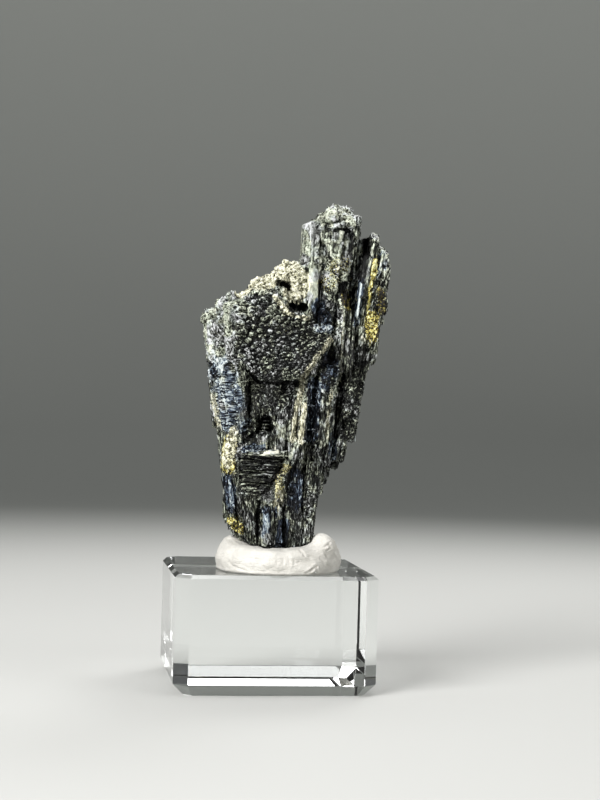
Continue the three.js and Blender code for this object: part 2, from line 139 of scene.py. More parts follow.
# matte paper: no gloss, only a faint tooth, which is drawn coarser than it is, so that it shows
paper, tree, shader = start_material("matte studio paper", {"Roughness": 0.9, "Specular IOR Level": 0.1})
place = add_node("TexCoord").outputs["Object"]
flat_place = add_node("VectorMath", (place, (1, 1, 0)), operation="MULTIPLY")
reach = add_node("VectorMath", (flat_place,), operation="LENGTH")
fade = add_node("MapRange", {"Value": reach, "From Min": 0.12, "From Max": 0.52},
                interpolation_type="SMOOTHERSTEP")
up = add_node("SeparateXYZ", (place,)).outputs["Z"]
# painted shade: the wall is painted darker at its foot, fading to a paler grey higher up
climb = add_node("MapRange", {"Value": up, "From Min": 0.03, "From Max": 0.30})
wall = add_node("Mix", {"Factor": climb, MIX_A: linear(WALL_FOOT_SHADE), MIX_B: linear(WALL_GREY)},
                data_type="RGBA")
tone = add_node("Mix", {"Factor": fade, MIX_A: linear(FLOOR_PALE), MIX_B: wall}, data_type="RGBA")
tooth = add_node("TexNoise", {"Vector": place, "Scale": 1 / (0.6 * MM), "Detail": 2.0})
bump = add_node("Bump", {"Height": tooth, "Strength": 0.06, "Distance": 0.05 * MM})
fill_sockets(shader, {"Base Color": tone, "Normal": bump})

bowl = bmesh.new()
profile = [(0, -FLOOR_DROP), (FLOOR_REACH, -FLOOR_DROP)]
for step in range(1, SWEEP_PARTS + 1):
    angle = math.pi / 2 * step / SWEEP_PARTS
    profile.append((FLOOR_REACH + SWEEP * math.sin(angle), SWEEP * (1 - math.cos(angle))))
profile.append((FLOOR_REACH + SWEEP, WALL_TOP))
line = [bowl.verts.new((r * MM, 0, z * MM)) for r, z in profile]
for a, b in zip(line, line[1:]):
    bowl.edges.new((a, b))
bmesh.ops.spin(bowl, geom=line + bowl.edges[:], axis=(0, 0, 1), cent=(0, 0, 0), steps=ROUND_PARTS,
               angle=math.tau, use_merge=True)
bmesh.ops.remove_doubles(bowl, verts=bowl.verts[:], dist=1e-6)
bmesh.ops.recalc_face_normals(bowl, faces=bowl.faces[:])
bmesh.ops.reverse_faces(bowl, faces=bowl.faces[:])
floor = place_mesh("studio_floor", mesh_of("studio_floor", bowl), paper)
floor.data.polygons.foreach_set("use_smooth", [True] * len(floor.data.polygons))

world = bpy.data.worlds.new("dim room")
bpy.context.scene.world = world
world.use_nodes = True
fill_sockets(world.node_tree.nodes["Background"], {"Color": linear(ROOM_GREY), "Strength": 0.22})

for name, where, size, power in SOFT_LIGHTS:
    light = bpy.data.lights.new(name, "AREA")
    light.shape, light.size, light.energy = "DISK", size * MM, power
    lamp = bpy.data.objects.new(name, light)
    bpy.context.scene.collection.objects.link(lamp)
    lamp.location = Vector(where) * MM
    lamp.rotation_euler = (Vector(LAMPS_AIM) * MM - lamp.location).to_track_quat("-Z", "Y").to_euler()
    lamp.visible_camera = False

# ---------------------------------------------------------------- acrylic display block
# A square block of clear cast acrylic, sawn, then ground and polished. The upright edges have flat
# chamfers, and the edges all round the top and the bottom are bevelled.
BLOCK_SIDE, BLOCK_HEIGHT = 32.0, 18.8
CORNER_CHAMFER, TOP_BEVEL, BOTTOM_BEVEL, POLISHED_EDGE = 2.2, 0.6, 1.7, 0.05


def bevel_edges(shape, width, rule):
    """Cuts a flat along the edges that pass the rule, which takes an edge's middle height and the edge."""
    edges = [e for e in shape.edges if rule((e.verts[0].co + e.verts[1].co).z / 2 / MM, e)]
    bmesh.ops.bevel(shape, geom=edges, offset=width * MM, offset_type="OFFSET", segments=1, profile=0.5,
                    affect="EDGES", material=-1, clamp_overlap=True)


block = bmesh.new()
bmesh.ops.create_cube(block, size=1)
bmesh.ops.scale(block, vec=Vector((BLOCK_SIDE, BLOCK_SIDE, BLOCK_HEIGHT)) * MM, verts=block.verts)
bmesh.ops.translate(block, vec=(0, 0, BLOCK_HEIGHT / 2 * MM), verts=block.verts)
bevel_edges(block, CORNER_CHAMFER, lambda z, e: 0.2 * BLOCK_HEIGHT < z < 0.8 * BLOCK_HEIGHT)
bevel_edges(block, TOP_BEVEL, lambda z, e: z > BLOCK_HEIGHT - 0.01)
bevel_edges(block, BOTTOM_BEVEL, lambda z, e: z < 0.01)
bevel_edges(block, POLISHED_EDGE, lambda z, e: e.calc_face_angle(0) > 0.2)
bmesh.ops.recalc_face_normals(block, faces=block.faces[:])

# polished acrylic: almost no roughness, a trace of wiping marks that only the gloss shows
acrylic, tree, shader = start_material("polished clear acrylic", {
    "Base Color": linear("#fafcfb"), "Transmission Weight": 1.0, "IOR": 1.49})
place = add_node("TexCoord").outputs["Object"]
wipe = add_node("Mapping", {"Vector": place, "Rotation": (0.3, 0.5, 0.9), "Scale": (1, 6, 1)})
marks = add_node("TexNoise", {"Vector": wipe, "Scale": 1 / (3.0 * MM), "Detail": 4.0})
gloss = add_node("MapRange", {"Value": marks, "From Min": 0.45, "From Max": 0.75, "To Min": 0.0,
                              "To Max": 0.035})
fill_sockets(shader, {"Roughness": gloss})

display_block = place_mesh("display_block", mesh_of("display_block", block), acrylic)
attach(display_block, "root")
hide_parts("acrylic_block")

# ---------------------------------------------------------------- mounting putty
# A lump of white reusable putty, kneaded and pressed onto the block by hand, with the specimen
# pushed into it. It is squeezed up in a lobe on each side and keeps folds and finger marks.
PUTTY_VOXEL = 0.16
PUTTY_LOBES = (((2.2, -6.6, 20.9), (5.6, 5.6, 1.5)), ((7.4, -10.2, 22.6), (2.1, 2.6, 2.35)))  # middle, reach
PUTTY_LUMPS = ((0.30, (3.4, 3.4, 2.6), 11), (0.17, (1.4, 1.4, 1.1), 12), (0.06, 0.6, 13))  # rise, size, seed
PUTTY_FOLDS = (  # start, end, and depth of each crease: right, up on the front, in mm of the row
    ((7.4, 23.2), (8.1, 23.6), 0.24), ((8.1, 23.6), (8.5, 23.1), 0.3), ((8.5, 23.1), (7.9, 22.6), 0.24),
    ((3.3, 22.6), (3.9, 21.9), 0.34), ((3.9, 21.9), (5.6, 21.6), 0.16), ((-4.1, 22.1), (-2.8, 21.9), 0.16),
    ((-1.4, 21.7), (-1.5, 20.6), 0.08), ((-0.5, 21.8), (-0.4, 20.7), 0.09), ((0.5, 21.6), (0.4, 20.5), 0.08),
    ((1.4, 21.7), (1.6, 20.4), 0.10), ((2.3, 21.5), (2.4, 20.6), 0.07), ((5.8, 20.3), (4.2, 19.2), 0.34),
    ((5.8, 20.3), (5.9, 19.4), 0.22), ((-6.9, 19.8), (-5.1, 19.3), 0.26), ((-7.6, 20.6), (-6.9, 19.8), 0.14),
    ((9.4, 21.6), (10.1, 20.2), 0.16), ((6.6, 21.4), (7.6, 20.2), 0.10), ((-3.0, 20.6), (-1.8, 19.6), 0.12),
)


def hashed(cells, seed):
    """A repeatable number from 0 to 1 for each whole-number cell."""
    mixed = cells[:, 0] * 73856093 ^ cells[:, 1] * 19349663 ^ cells[:, 2] * 83492791 ^ (seed * 961748927)
    mixed = ((mixed & 0xFFFFFFFF) ^ ((mixed & 0xFFFFFFFF) >> 15)) * 2246822519 & 0xFFFFFFFF
    mixed = (mixed ^ (mixed >> 13)) * 3266489917 & 0xFFFFFFFF
    return ((mixed ^ (mixed >> 16)) & 0xFFFFFF) / float(0xFFFFFF)


def swell(points, size, seed):
    """Smooth noise from -1 to 1, with lumps of that size."""
    grid = points / np.asarray(size, float)
    low = np.floor(grid).astype(np.int64)
    part = grid - low
    part = part * part * (3 - 2 * part)
    total = np.zeros(len(points))
    for corner in itertools.product((0, 1), repeat=3):
        share = np.prod(np.where(np.array(corner), part, 1 - part), axis=1)
        total += share * hashed(low + np.array(corner), seed)
    return 2 * total - 1


def smooth_step(value, low, high):
    share = np.clip((value - low) / (high - low), 0, 1)
    return share * share * (3 - 2 * share)


def crest(distance, width):
    """1 at no distance, falling to nothing a little past the width."""
    return np.exp(-((distance / width) ** 2))


def beside_line(x, z, start, end):
    """How far along a stretch each point lies, from 0 to 1, and how far from it."""
    (x1, z1), (x2, z2) = start, end
    along = np.clip(((x - x1) * (x2 - x1) + (z - z1) * (z2 - z1)) / ((x2 - x1) ** 2 + (z2 - z1) ** 2), 0, 1)
    return along, np.hypot(x - x1 - along * (x2 - x1), z - z1 - along * (z2 - z1))


def vertex_array(mesh, field="co"):
    values = np.zeros(len(mesh.vertices) * 3, np.float32)
    mesh.vertices.foreach_get(field, values)
    return values.reshape(-1, 3).astype(float)


def merged_copy(node):
    """A CAD node's triangles, joined at their corners."""
    shape = bmesh.new()
    shape.from_mesh(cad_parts[node].data)
    bmesh.ops.remove_doubles(shape, verts=shape.verts[:], dist=2e-6)
    return shape


def applied(name, mesh, kind, **settings):
    """The mesh with one modifier applied."""
    rough = place_mesh(name + "_rough", mesh)
    modifier = rough.modifiers.new("once", kind)
    for setting, value in settings.items():
        setattr(modifier, setting, value)
    done = bpy.data.meshes.new_from_object(rough.evaluated_get(bpy.context.evaluated_depsgraph_get()))
    bpy.data.objects.remove(rough)
    bpy.data.meshes.remove(mesh)
    done.name = name
    return done


putty_shape = merged_copy("mounting_putty")
for middle, reach in PUTTY_LOBES:
    lump = bmesh.ops.create_icosphere(putty_shape, subdivisions=3, radius=1)["verts"]
    bmesh.ops.scale(putty_shape, vec=Vector(reach) * MM, verts=lump)
    bmesh.ops.translate(putty_shape, vec=Vector(middle) * MM, verts=lump)
putty_mesh = applied("putty", mesh_of("putty", putty_shape), "REMESH", mode="VOXEL",
                     voxel_size=PUTTY_VOXEL * MM)
putty_mesh = applied("putty", putty_mesh, "SMOOTH", factor=0.6, iterations=6)
points = vertex_array(putty_mesh) * 1000
normals = vertex_array(putty_mesh, "normal")
lift = sum(rise * swell(points, size, seed) for rise, size, seed in PUTTY_LUMPS)
wrinkles = np.abs(swell(points, (0.9, 0.9, 2.4), 14))
lift -= 0.09 * crest(wrinkles, 0.10) * smooth_step(swell(points, 3.0, 15), -0.2, 0.5)
front = smooth_step(-normals[:, 1], 0.0, 0.35)
for start, end, depth in PUTTY_FOLDS:
    along, away = beside_line(points[:, 0], points[:, 2], start, end)
    taper = 1 - 0.6 * np.abs(2 * along - 1)
    lift += front * taper * depth * (0.55 * crest(away - 0.34, 0.2) - crest(away, 0.13))
# the same kind of pinch all round, where two folds of the lump meet
pinch = np.abs(swell(points, (4.2, 4.2, 2.4), 21))
lift -= 0.14 * crest(pinch, 0.05) * smooth_step(swell(points, 5.0, 22), -0.1, 0.4)
above = smooth_step(points[:, 2], BLOCK_HEIGHT + 0.15, BLOCK_HEIGHT + 0.9)
points += normals * (lift * above)[:, None]
# the thin skirt that the putty spreads into where it meets the block
skirt = 1 - smooth_step(points[:, 2], BLOCK_HEIGHT + 0.3, BLOCK_HEIGHT + 0.75)
skirt *= 0.28 + 0.2 * swell(points, 2.0, 23)
points[:, :2] += normals[:, :2] * skirt[:, None]
points[:, 2] = np.maximum(points[:, 2], BLOCK_HEIGHT + 0.005)
putty_mesh.vertices.foreach_set("co", (points * MM).astype(np.float32).ravel())
putty_mesh.polygons.foreach_set("use_smooth", [True] * len(putty_mesh.polygons))
putty_mesh.update()

# white putty: soft and dull, with light sinking a little way in, a faint drag of the fingers, and
# pores that are drawn as coarse as they need to show
putty_white, tree, shader = start_material("white mounting putty", {
    "Roughness": 0.62, "Subsurface Weight": 0.08, "Subsurface Scale": 1.0,
    "Subsurface Radius": (0.0012, 0.0011, 0.0010)})
place = add_node("TexCoord").outputs["Object"]
drag = add_node("Mapping", {"Vector": place, "Rotation": (0.2, 0.4, 0.3), "Scale": (1, 1, 3.5)})
lines = add_node("TexNoise", {"Vector": drag, "Scale": 1 / (0.9 * MM), "Detail": 5.0})
pores = add_node("TexNoise", {"Vector": place, "Scale": 1 / (0.25 * MM), "Detail": 3.0})
height = add_node("MixRGB", {"Fac": 0.35, "Color1": lines, "Color2": pores})
bump = add_node("Bump", {"Height": height, "Strength": 1.0, "Distance": 0.26 * MM})
stain = add_node("TexNoise", {"Vector": place, "Scale": 1 / (4.0 * MM), "Detail": 3.0})
colour = add_node("ValToRGB", {"Fac": stain}, ((0.3, "#bab7b0"), (0.7, "#d7d4cd")))
fill_sockets(shader, {"Base Color": colour, "Normal": bump})

putty = place_mesh("pressed_putty", putty_mesh, putty_white)
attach(putty, "root")
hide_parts("mounting_putty")

# ---------------------------------------------------------------- stibnite: the body of the fan
# Bladed crystals of antimony sulphide, grown together in a fan that widens upwards. Most are broken
# to steps, and they are lead-grey and metallic, with blue tarnish and crusts in places.
FOOT_PLACE = np.array([2.3, -6.4, 22.0])
CLUSTER_TURN = math.radians(-8.4)
FAN_SOURCE_RIGHT, FAN_SOURCE_BACK = 45.0, 60.0   # how far under the foot the crystals' lines meet
BODY_VOXEL = 0.15
BODY_TRIANGLES = 190000
BLADE_CELL, SPLINT_CELL, LUMP_CELL, GRAIN_CELL = (1.1, 1.1, 7.0), (0.50, 0.50, 3.2), 0.95, (0.60, 0.7, 0.46)
COLUMN_LEFT, DRUSE_RIGHT, KNOB_RIGHT, COLUMN_FOOT, KNOB_FOOT = 2.4, 2.6, 9.6, 46.5, 50.5
BLADE_STEP, BLADE_TILT, BLADE_CRACK = 0.34, 0.22, 0.15   # how far blades stand apart, lean and part
SPLINT_STEP, SPLINT_TILT, SPLINT_CRACK = 0.30, 0.20, 0.14
# of these tones, the first paints light on the ridges and shade in the hollows, the bright one paints glints
# as well as a paler tone, the dark one paints shade in clefts, holes and pits as well as a darker tone, and
# the last two paint shade in the gaps under the plate's granules and behind the ledge's sheets
RIDGE_LIGHT_HOLLOW_SHADE, PALE_TONE_AND_GLINT, DARK_TONE_AND_SHADE, OWN_TONE, PLATE_GAP_SHADE, LEDGE_GAP_SHADE = 0.28, 0.42, 0.60, 0.16, 0.62, 0.40   # tones
PLATE_OUTLINE = np.array([  # right, up: the coarse face that stands proud of the left half
    (-8.8, 37.6), (-7.4, 40.0), (-5.0, 41.0), (-3.0, 40.3), (-0.9, 37.7), (2.7, 37.3), (6.3, 34.9),
    (4.2, 31.4), (1.9, 28.2), (-1.2, 27.3), (-4.7, 26.9), (-7.0, 28.9), (-8.7, 30.9),
])
PLATE_FRONT, PLATE_LOW, PLATE_LEAN = -7.35, 27.2, math.tan(math.radians(5))
# Ridges, clefts and crusts of the front: the finish, how strong it is, how far it stands out (or in),
# half its width, and the line it follows, right and up from the foot, all in mm. The bright finish is a
# paler tone in places and a painted glint in others; the dark finish is painted shade in clefts, holes,
# gaps and pits, and a darker tone elsewhere.
RIDGES = (
    # the tall left column, the gap beside its flat prism, darkened as painted shade, and the knob on top
    ("bright", 0.45, 0.1, 0.4, 2.6, 51.7, 2.9, 48.7, 2.9, 44.6),
    ("bright", 0.45, 0.5, 0.5, 4.1, 51.6, 3.9, 43.2), ("dark", 0.7, -0.25, 0.16, 4.05, 44.6, 4.15, 39.6),
    ("bright", 0.42, 0.1, 2.3, 6.6, 53.6, 7.6, 52.4), ("bright", 0.8, 0.16, 0.22, 6.0, 51.6, 7.7, 52.4),
    ("dark", 0.8, -0.35, 0.3, 6.3, 51.2, 8.5, 51.2),
    ("bright", 0.55, 0.15, 0.35, 4.9, 49.6, 6.0, 49.1, 8.0, 49.2),
    # the brown cavity, the groove above it and the black channel, all darkened as painted shade, and the
    # streak that runs down from it, a painted glint
    ("dark", 0.8, -0.5, 0.7, 8.0, 42.4, 8.6, 39.6), ("dark", 0.35, -0.3, 0.45, 9.1, 50.0, 8.9, 43.4),
    ("dark", 1.0, -0.8, 0.7, 11.5, 50.2, 11.3, 47.6),
    ("bright", 0.7, 0.3, 0.22, 10.8, 43.1, 10.5, 40.9, 10.1, 36.6),
    # the yellow crusts and the olive nugget at the right, and the edge of the outer blade
    ("ochre", 1.0, 0.3, 0.5, 12.95, 46.6, 12.6, 44.4), ("ochre", 1.0, 0.2, 0.3, 12.5, 44.1, 12.0, 39.8),
    ("ochre", 1.0, 0.2, 1.05, 12.5, 37.6, 12.6, 34.6), ("ochre", 0.6, 0.45, 0.85, 13.7, 41.7, 14.2, 38.8),
    ("bright", 0.9, 0.1, 0.14, 14.2, 48.8, 13.7, 44.6),
    # the blue lumps, the pale ridge below them, and the edges of the plate, with a painted shadow along its
    # lower edge
    ("tarnish", 0.95, 0.1, 1.1, 3.9, 39.2, 5.2, 36.9), ("tarnish", 0.6, 0.1, 0.8, 3.7, 35.3, 5.9, 35.5),
    ("bright", 0.7, 0.25, 0.22, 7.6, 40.7, 7.9, 36.9, 7.9, 27.5),
    ("cream", 0.95, 0.25, 0.42, 6.1, 33.9, 4.2, 31.2, 2.0, 27.9),
    ("dark", 0.8, -0.3, 0.3, -7.6, 29.5, -4.9, 26.6, 1.3, 27.0),
    # the rim of the druse and its two holes, a dip of the plate, and a blue hollow at its right; the holes
    # and the dip are darkened as painted shade
    ("cream", 1.0, 0.45, 0.5, -2.9, 40.3, -1.2, 38.0),
    ("cream", 0.9, 0.4, 0.32, -1.2, 37.7, 0.6, 37.2, 2.6, 36.8),
    ("dark", 1.0, -1.3, 0.75, -0.3, 38.7, 1.6, 38.7), ("dark", 1.0, -1.6, 0.62, -2.3, 42.5, -0.9, 42.1),
    ("dark", 0.35, -0.2, 1.1, -5.2, 38.6, -4.6, 36.6), ("tarnish", 0.6, -0.25, 1.5, 6.3, 30.9, 5.9, 26.9),
    # the left flank: an arched ridge and two hollows, then the yellow-green crusts; the two hollows are
    # darkened as painted shade
    ("bright", 0.9, 0.3, 0.2, -10.9, 26.4, -10.9, 29.4, -10.0, 30.4, -8.8, 29.5, -8.0, 26.4),
    ("dark", 0.3, -0.1, 0.9, -9.6, 29.0, -9.4, 27.0), ("dark", 0.6, -0.3, 0.45, -13.5, 30.1, -11.9, 27.5),
    ("ochre", 0.74, 0.2, 1.2, -9.2, 17.6, -9.7, 15.2, -9.6, 12.9),
    ("cream", 0.66, 0.15, 1.1, -8.8, 18.8, -9.5, 15.8, -9.7, 14.0),
    ("ochre", 1.0, 0.25, 0.85, -8.8, 4.6, -7.6, 3.6),
    # the recess: its pit and a hollow at its left, darkened as painted shade, the facets under it, and the
    # bright bar along the ledge, a painted glint
    ("dark", 0.7, -0.3, 0.7, -4.5, 21.0, -3.3, 20.8, -3.0, 19.2),
    ("dark", 0.9, -0.5, 0.4, -7.2, 17.2, -6.1, 18.3, -5.1, 19.0),
    ("bright", 0.8, 0.1, 0.12, -3.6, 16.7, -2.6, 16.8), ("bright", 0.1, 0.2, 1.2, -1.7, 19.8, -0.4, 17.2),
    ("bright", 1.0, 0.14, 0.22, -3.8, 15.7, -1.8, 15.9),
    # the long pale ridge right of the recess, and its crusts further down
    ("cream", 0.8, 0.25, 0.5, 1.8, 27.2, 1.2, 23.6, 0.8, 21.0, 0.6, 17.9),
    ("cream", 0.9, 0.35, 0.45, 2.2, 23.4, 1.9, 19.6, 1.8, 17.6),
    ("dark", 0.6, -0.2, 0.1, 1.7, 22.6, 1.3, 19.6, 1.2, 18.2),
    ("bright", 0.9, 0.35, 0.4, 1.5, 17.2, 0.3, 15.2),
    ("cream", 0.5, 0.3, 0.75, -0.3, 13.6, -1.6, 11.8, -1.3, 8.4),
    ("ochre", 1.0, -0.15, 0.17, -0.7, 10.2, -1.5, 9.5, -1.4, 8.6),
    ("cream", 0.95, 0.1, 0.55, -0.9, 9.3, -1.8, 7.7), ("tarnish", 0.6, -0.25, 1.5, 1.2, 12.3, 1.0, 7.8),
    # the black gap, darkened as painted shade, and a pale blade of the foot
    ("dark", 1.0, -0.8, 0.26, -4.6, 8.0, -4.6, 1.6), ("bright", 0.26, 0.1, 0.55, -3.3, 5.4, -3.6, 1.0),
    # the channel at the right with two bars, a pale edge, a small white hook, and the side of the recess; the
    # channel and the side of the recess are darkened as painted shade
    ("dark", 0.45, -0.2, 1.1, 3.4, 27.4, 3.6, 18.0), ("bright", 0.8, 0.1, 0.14, 2.5, 23.4, 3.7, 23.3),
    ("bright", 0.8, 0.1, 0.14, 2.9, 19.5, 3.8, 19.6),
    ("cream", 0.55, 0.15, 0.36, 6.5, 26.0, 6.0, 21.5, 5.8, 17.6),
    ("cream", 0.9, 0.1, 0.22, 10.9, 34.4, 12.4, 33.2, 12.6, 33.9),
    ("dark", 0.5, -0.3, 0.4, -6.9, 26.4, -6.5, 22.2, -7.2, 17.6),
)
# Patches of each finish that lie level with the metal, from the tall columns down to the foot: how
# strong, half the width, and the line, as above.
PATCHES = {
    "bright": (
        (0.36, 1.8, 2.4, 51.6, 1.8, 46.6), (0.45, 0.8, 3.1, 44.4, 3.3, 39.6),
        (0.3, 0.9, 5.8, 48.5, 8.0, 48.7), (0.3, 2.4, 6.0, 50.6, 6.2, 47.0),
        (0.5, 2.0, 5.2, 43.4, 7.3, 45.6), (0.7, 0.45, 12.95, 46.6, 12.6, 44.4),
        (0.5, 0.3, 12.5, 44.1, 12.0, 39.8), (0.35, 0.8, 14.4, 48.6, 14.7, 43.6),
        (0.35, 0.8, 3.7, 35.3, 5.9, 35.5), (0.74, 2.6, -11.6, 38.6, -12.2, 34.3, -12.4, 30.9),
        (0.5, 1.4, -9.5, 39.9, -6.7, 38.6), (0.22, 2.0, -5.1, 43.0, -1.0, 45.0, 1.6, 42.6, 0.5, 41.2),
        (0.22, 2.9, -11.0, 28.4, -9.9, 24.0, -8.9, 20.8), (0.12, 1.2, -8.8, 18.6, -9.5, 15.8, -9.7, 12.6),
        (0.2, 0.7, -6.2, 25.8, 0.6, 26.2), (0.25, 0.9, 1.8, 27.0, 1.6, 23.0, 1.3, 17.8),
        (0.25, 0.6, 3.5, 5.4, 3.1, 1.6), (0.6, 0.25, 10.9, 34.4, 12.4, 33.2, 12.6, 33.9),
    ),
    "dark": (
        (0.25, 0.8, 11.5, 47.7, 10.9, 40.0), (0.75, 0.9, 13.7, 41.7, 14.2, 38.8),
        (0.5, 1.3, 3.8, 39.0, 5.4, 37.0), (0.12, 3.0, -2.0, 35.5, 2.4, 34.0, -3.0, 31.5),
        (0.5, 1.2, 6.2, 31.6, 5.6, 28.0), (0.25, 1.2, -9.4, 25.4, -8.8, 22.0),
        (0.3, 1.0, -9.6, 11.2, -8.8, 7.0), (0.3, 2.8, -3.9, 24.4, -1.6, 24.6, -2.6, 21.6),
        (0.35, 1.6, -6.0, 22.6, -5.4, 19.2), (0.35, 2.2, -5.8, 13.2, -2.8, 13.4, -5.4, 10.8),
        (0.45, 1.7, 1.0, 12.9, 0.9, 7.4), (0.3, 0.6, -3.8, 6.6, -2.0, 6.8),
        (0.6, 1.0, -0.6, 4.6, -0.9, 1.6), (0.15, 4.2, -5.0, 4.0, 2.4, 4.0),
        (0.5, 1.8, 10.2, 30.0, 9.8, 25.6, 8.8, 19.4), (0.4, 1.0, 8.0, 15.0, 7.3, 14.0),
        (0.25, 1.6, 4.6, 16.0, 3.6, 6.0),
    ),
    "tarnish": (
        (0.35, 0.9, 3.1, 44.9, 3.3, 39.2), (0.35, 0.7, 5.7, 52.4, 6.6, 52.8),
        # the second patch on the next line tints the channel's streak blue, as part of its painted glint
        (0.3, 0.9, 11.5, 47.7, 10.7, 39.0), (0.75, 0.6, 10.9, 43.1, 10.6, 40.9, 10.2, 36.6),
        (0.5, 0.8, 14.0, 47.6, 13.9, 44.0), (0.62, 2.9, -11.0, 28.4, -9.9, 24.0, -8.9, 20.8),
        (1.0, 0.95, -9.6, 11.2, -8.8, 7.0), (0.9, 0.55, -7.1, 16.1, -4.2, 16.6),
        (1.0, 0.6, -3.8, 6.6, -2.0, 6.8), (1.0, 0.95, -0.6, 4.6, -0.9, 1.6),
        (0.7, 0.7, -3.1, 6.2, -3.4, 2.4), (0.85, 1.1, 3.6, 26.8, 3.7, 23.6, 3.6, 18.7),
        (1.0, 0.7, 6.8, 17.9, 6.9, 15.3),
    ),
    "ochre": (
        (0.42, 1.9, 5.2, 43.0, 7.5, 45.6), (0.8, 0.7, 8.3, 41.4, 8.7, 39.3),
        (0.3, 1.5, -2.8, 35.9, -1.6, 35.2), (0.35, 0.62, 1.7, 27.2, 1.4, 22.5, 1.1, 17.3),
        (0.65, 0.75, -0.3, 13.6, -1.6, 11.8, -1.3, 8.4),
    ),
    "cream": (
        (0.35, 2.0, 6.2, 54.2, 7.4, 53.4), (0.5, 0.25, 7.6, 40.7, 7.9, 36.9, 7.9, 27.5),
        (0.3, 2.6, -11.6, 38.4, -11.9, 33.3), (1.0, 2.0, -5.1, 43.0, -1.0, 45.0, 0.8, 42.8, 0.2, 41.2),
        (0.9, 1.1, -7.2, 42.3, -8.3, 40.9), (0.6, 0.5, -12.4, 24.6, -11.3, 19.8),
        # the second patch on the next line whitens the bar along the ledge, as part of its painted glint
        (0.35, 0.7, -5.2, 17.6, -4.0, 17.7), (1.0, 0.24, -3.8, 15.7, -1.7, 15.85),
        (0.25, 1.2, -6.7, 8.2, -5.9, 2.6),
    ),
    "polish": (
        (0.75, 1.7, 2.2, 51.6, 1.8, 46.6), (0.95, 1.0, 3.1, 44.9, 3.3, 39.2),
        (0.45, 2.4, 5.4, 50.6, 7.6, 49.0), (0.3, 2.6, 6.2, 53.4, 7.4, 53.0),
        (0.9, 0.7, 11.5, 47.7, 10.9, 40.3), (0.25, 2.8, -11.6, 38.6, -12.4, 30.9),
        (0.35, 1.4, 6.2, 30.9, 5.8, 26.9), (0.5, 0.9, -9.5, 10.8, -8.9, 7.4),
        (0.85, 0.9, -5.6, 17.5, -3.6, 17.7), (0.5, 1.1, -1.6, 20.2, -0.8, 17.4),
        (0.4, 0.9, -6.2, 25.6, -5.9, 21.6), (0.35, 1.5, 1.1, 12.3, 1.0, 7.8),
        (0.6, 0.9, -0.6, 4.8, -0.9, 1.8), (0.5, 0.7, -3.2, 6.2, -3.5, 1.4),
    ),
}
BEHIND = {"bright": 0.45, "ochre": 0.6, "tarnish": 0.8, "dark": 0.5, "cream": 0.4}  # scattered patches
SKYLINE = np.array([  # right, up: the top of the druse, which steps up to the tall columns
    (-9.2, 40.9), (-7.6, 41.3), (-7.1, 43.0), (-6.4, 43.7), (-3.9, 43.9), (-2.9, 44.5), (-2.3, 45.4),
    (-1.5, 46.6), (0.2, 46.8), (0.8, 46.6),
])
LEDGE_OUTLINE = np.array([(-7.9, 15.3), (-0.3, 15.2), (-3.7, 8.8), (-7.8, 8.8)])  # the broken steps
GRAINY_SPOTS = (  # granular places: middle and half size, right and up, and how granular
    (6.4, 44.4, 2.4, 3.0, 0.9), (-2.6, 24.8, 3.4, 2.4, 0.8), (9.8, 25.0, 1.9, 6.0, 0.75),
    (-9.3, 15.8, 1.3, 3.4, 0.8), (-8.2, 4.1, 1.3, 1.3, 0.9), (12.5, 36.2, 1.2, 2.2, 0.8),
    (14.0, 40.2, 1.0, 2.0, 0.8),
)
# where the grooves run across the crystals instead of along them: middle and half size
CROSSWISE = ((-9.8, 25.0, 2.4, 6.6), (-8.8, 38.4, 2.8, 1.5), (-4.2, 12.6, 3.9, 4.0))


def to_specimen(points):
    """Metres in the row's frame, as mm from the middle of the specimen's foot."""
    c, s = math.cos(CLUSTER_TURN), math.sin(CLUSTER_TURN)
    x, y, z = (np.asarray(points) * 1000 - FOOT_PLACE).T
    return np.column_stack((x * c + y * s, y * c - x * s, z))


def turn_to_specimen(directions):
    return to_specimen((np.asarray(directions) + FOOT_PLACE) * MM)


def to_row(points):
    """The other way round, to metres."""
    c, s = math.cos(CLUSTER_TURN), math.sin(CLUSTER_TURN)
    x, y, z = np.asarray(points).T
    return (np.column_stack((x * c - y * s, y * c + x * s, z)) + FOOT_PLACE) * MM


def straightened(points):
    """The fan with its crystals set upright: right, back and up in mm."""
    x, y, z = points.T
    return np.column_stack((x * FAN_SOURCE_RIGHT / (z + FAN_SOURCE_RIGHT),
                            y * FAN_SOURCE_BACK / (z + FAN_SOURCE_BACK), z))


def fan_direction(points):
    """The way that the crystals run at each point."""
    x, y, z = points.T
    lean = np.column_stack((x / (z + FAN_SOURCE_RIGHT), y / (z + FAN_SOURCE_BACK), np.ones(len(x))))
    return lean / np.linalg.norm(lean, axis=1)[:, None]


def broken_cells(points, size, seed):
    """Cells like packed blades: distance to the middle, room to the edge, one number for each cell,
    and the way from its middle."""
    grid = points / np.asarray(size, float)
    low = np.floor(grid).astype(np.int64)
    near, second = np.full(len(points), 9.0), np.full(len(points), 9.0)
    owner, way = np.zeros(len(points)), np.zeros((len(points), 3))
    for step in itertools.product((-1, 0, 1), repeat=3):
        cell = low + np.array(step)
        middle = cell + np.column_stack([hashed(cell, seed + k) for k in range(3)])
        from_middle = grid - middle
        distance = np.linalg.norm(from_middle, axis=1)
        closer = distance < near
        second = np.where(closer, near, np.minimum(second, distance))
        near = np.where(closer, distance, near)
        owner = np.where(closer, hashed(cell, seed + 3), owner)
        way[closer] = from_middle[closer]
    return near, second - near, owner, way


def in_outline(outline, x, z):
    inside = np.zeros(len(x), bool)
    for (x1, z1), (x2, z2) in zip(outline, np.roll(outline, 1, axis=0)):
        if z1 == z2:
            continue
        inside ^= ((z1 > z) != (z2 > z)) & (x < (x2 - x1) * (z - z1) / (z2 - z1) + x1)
    return inside


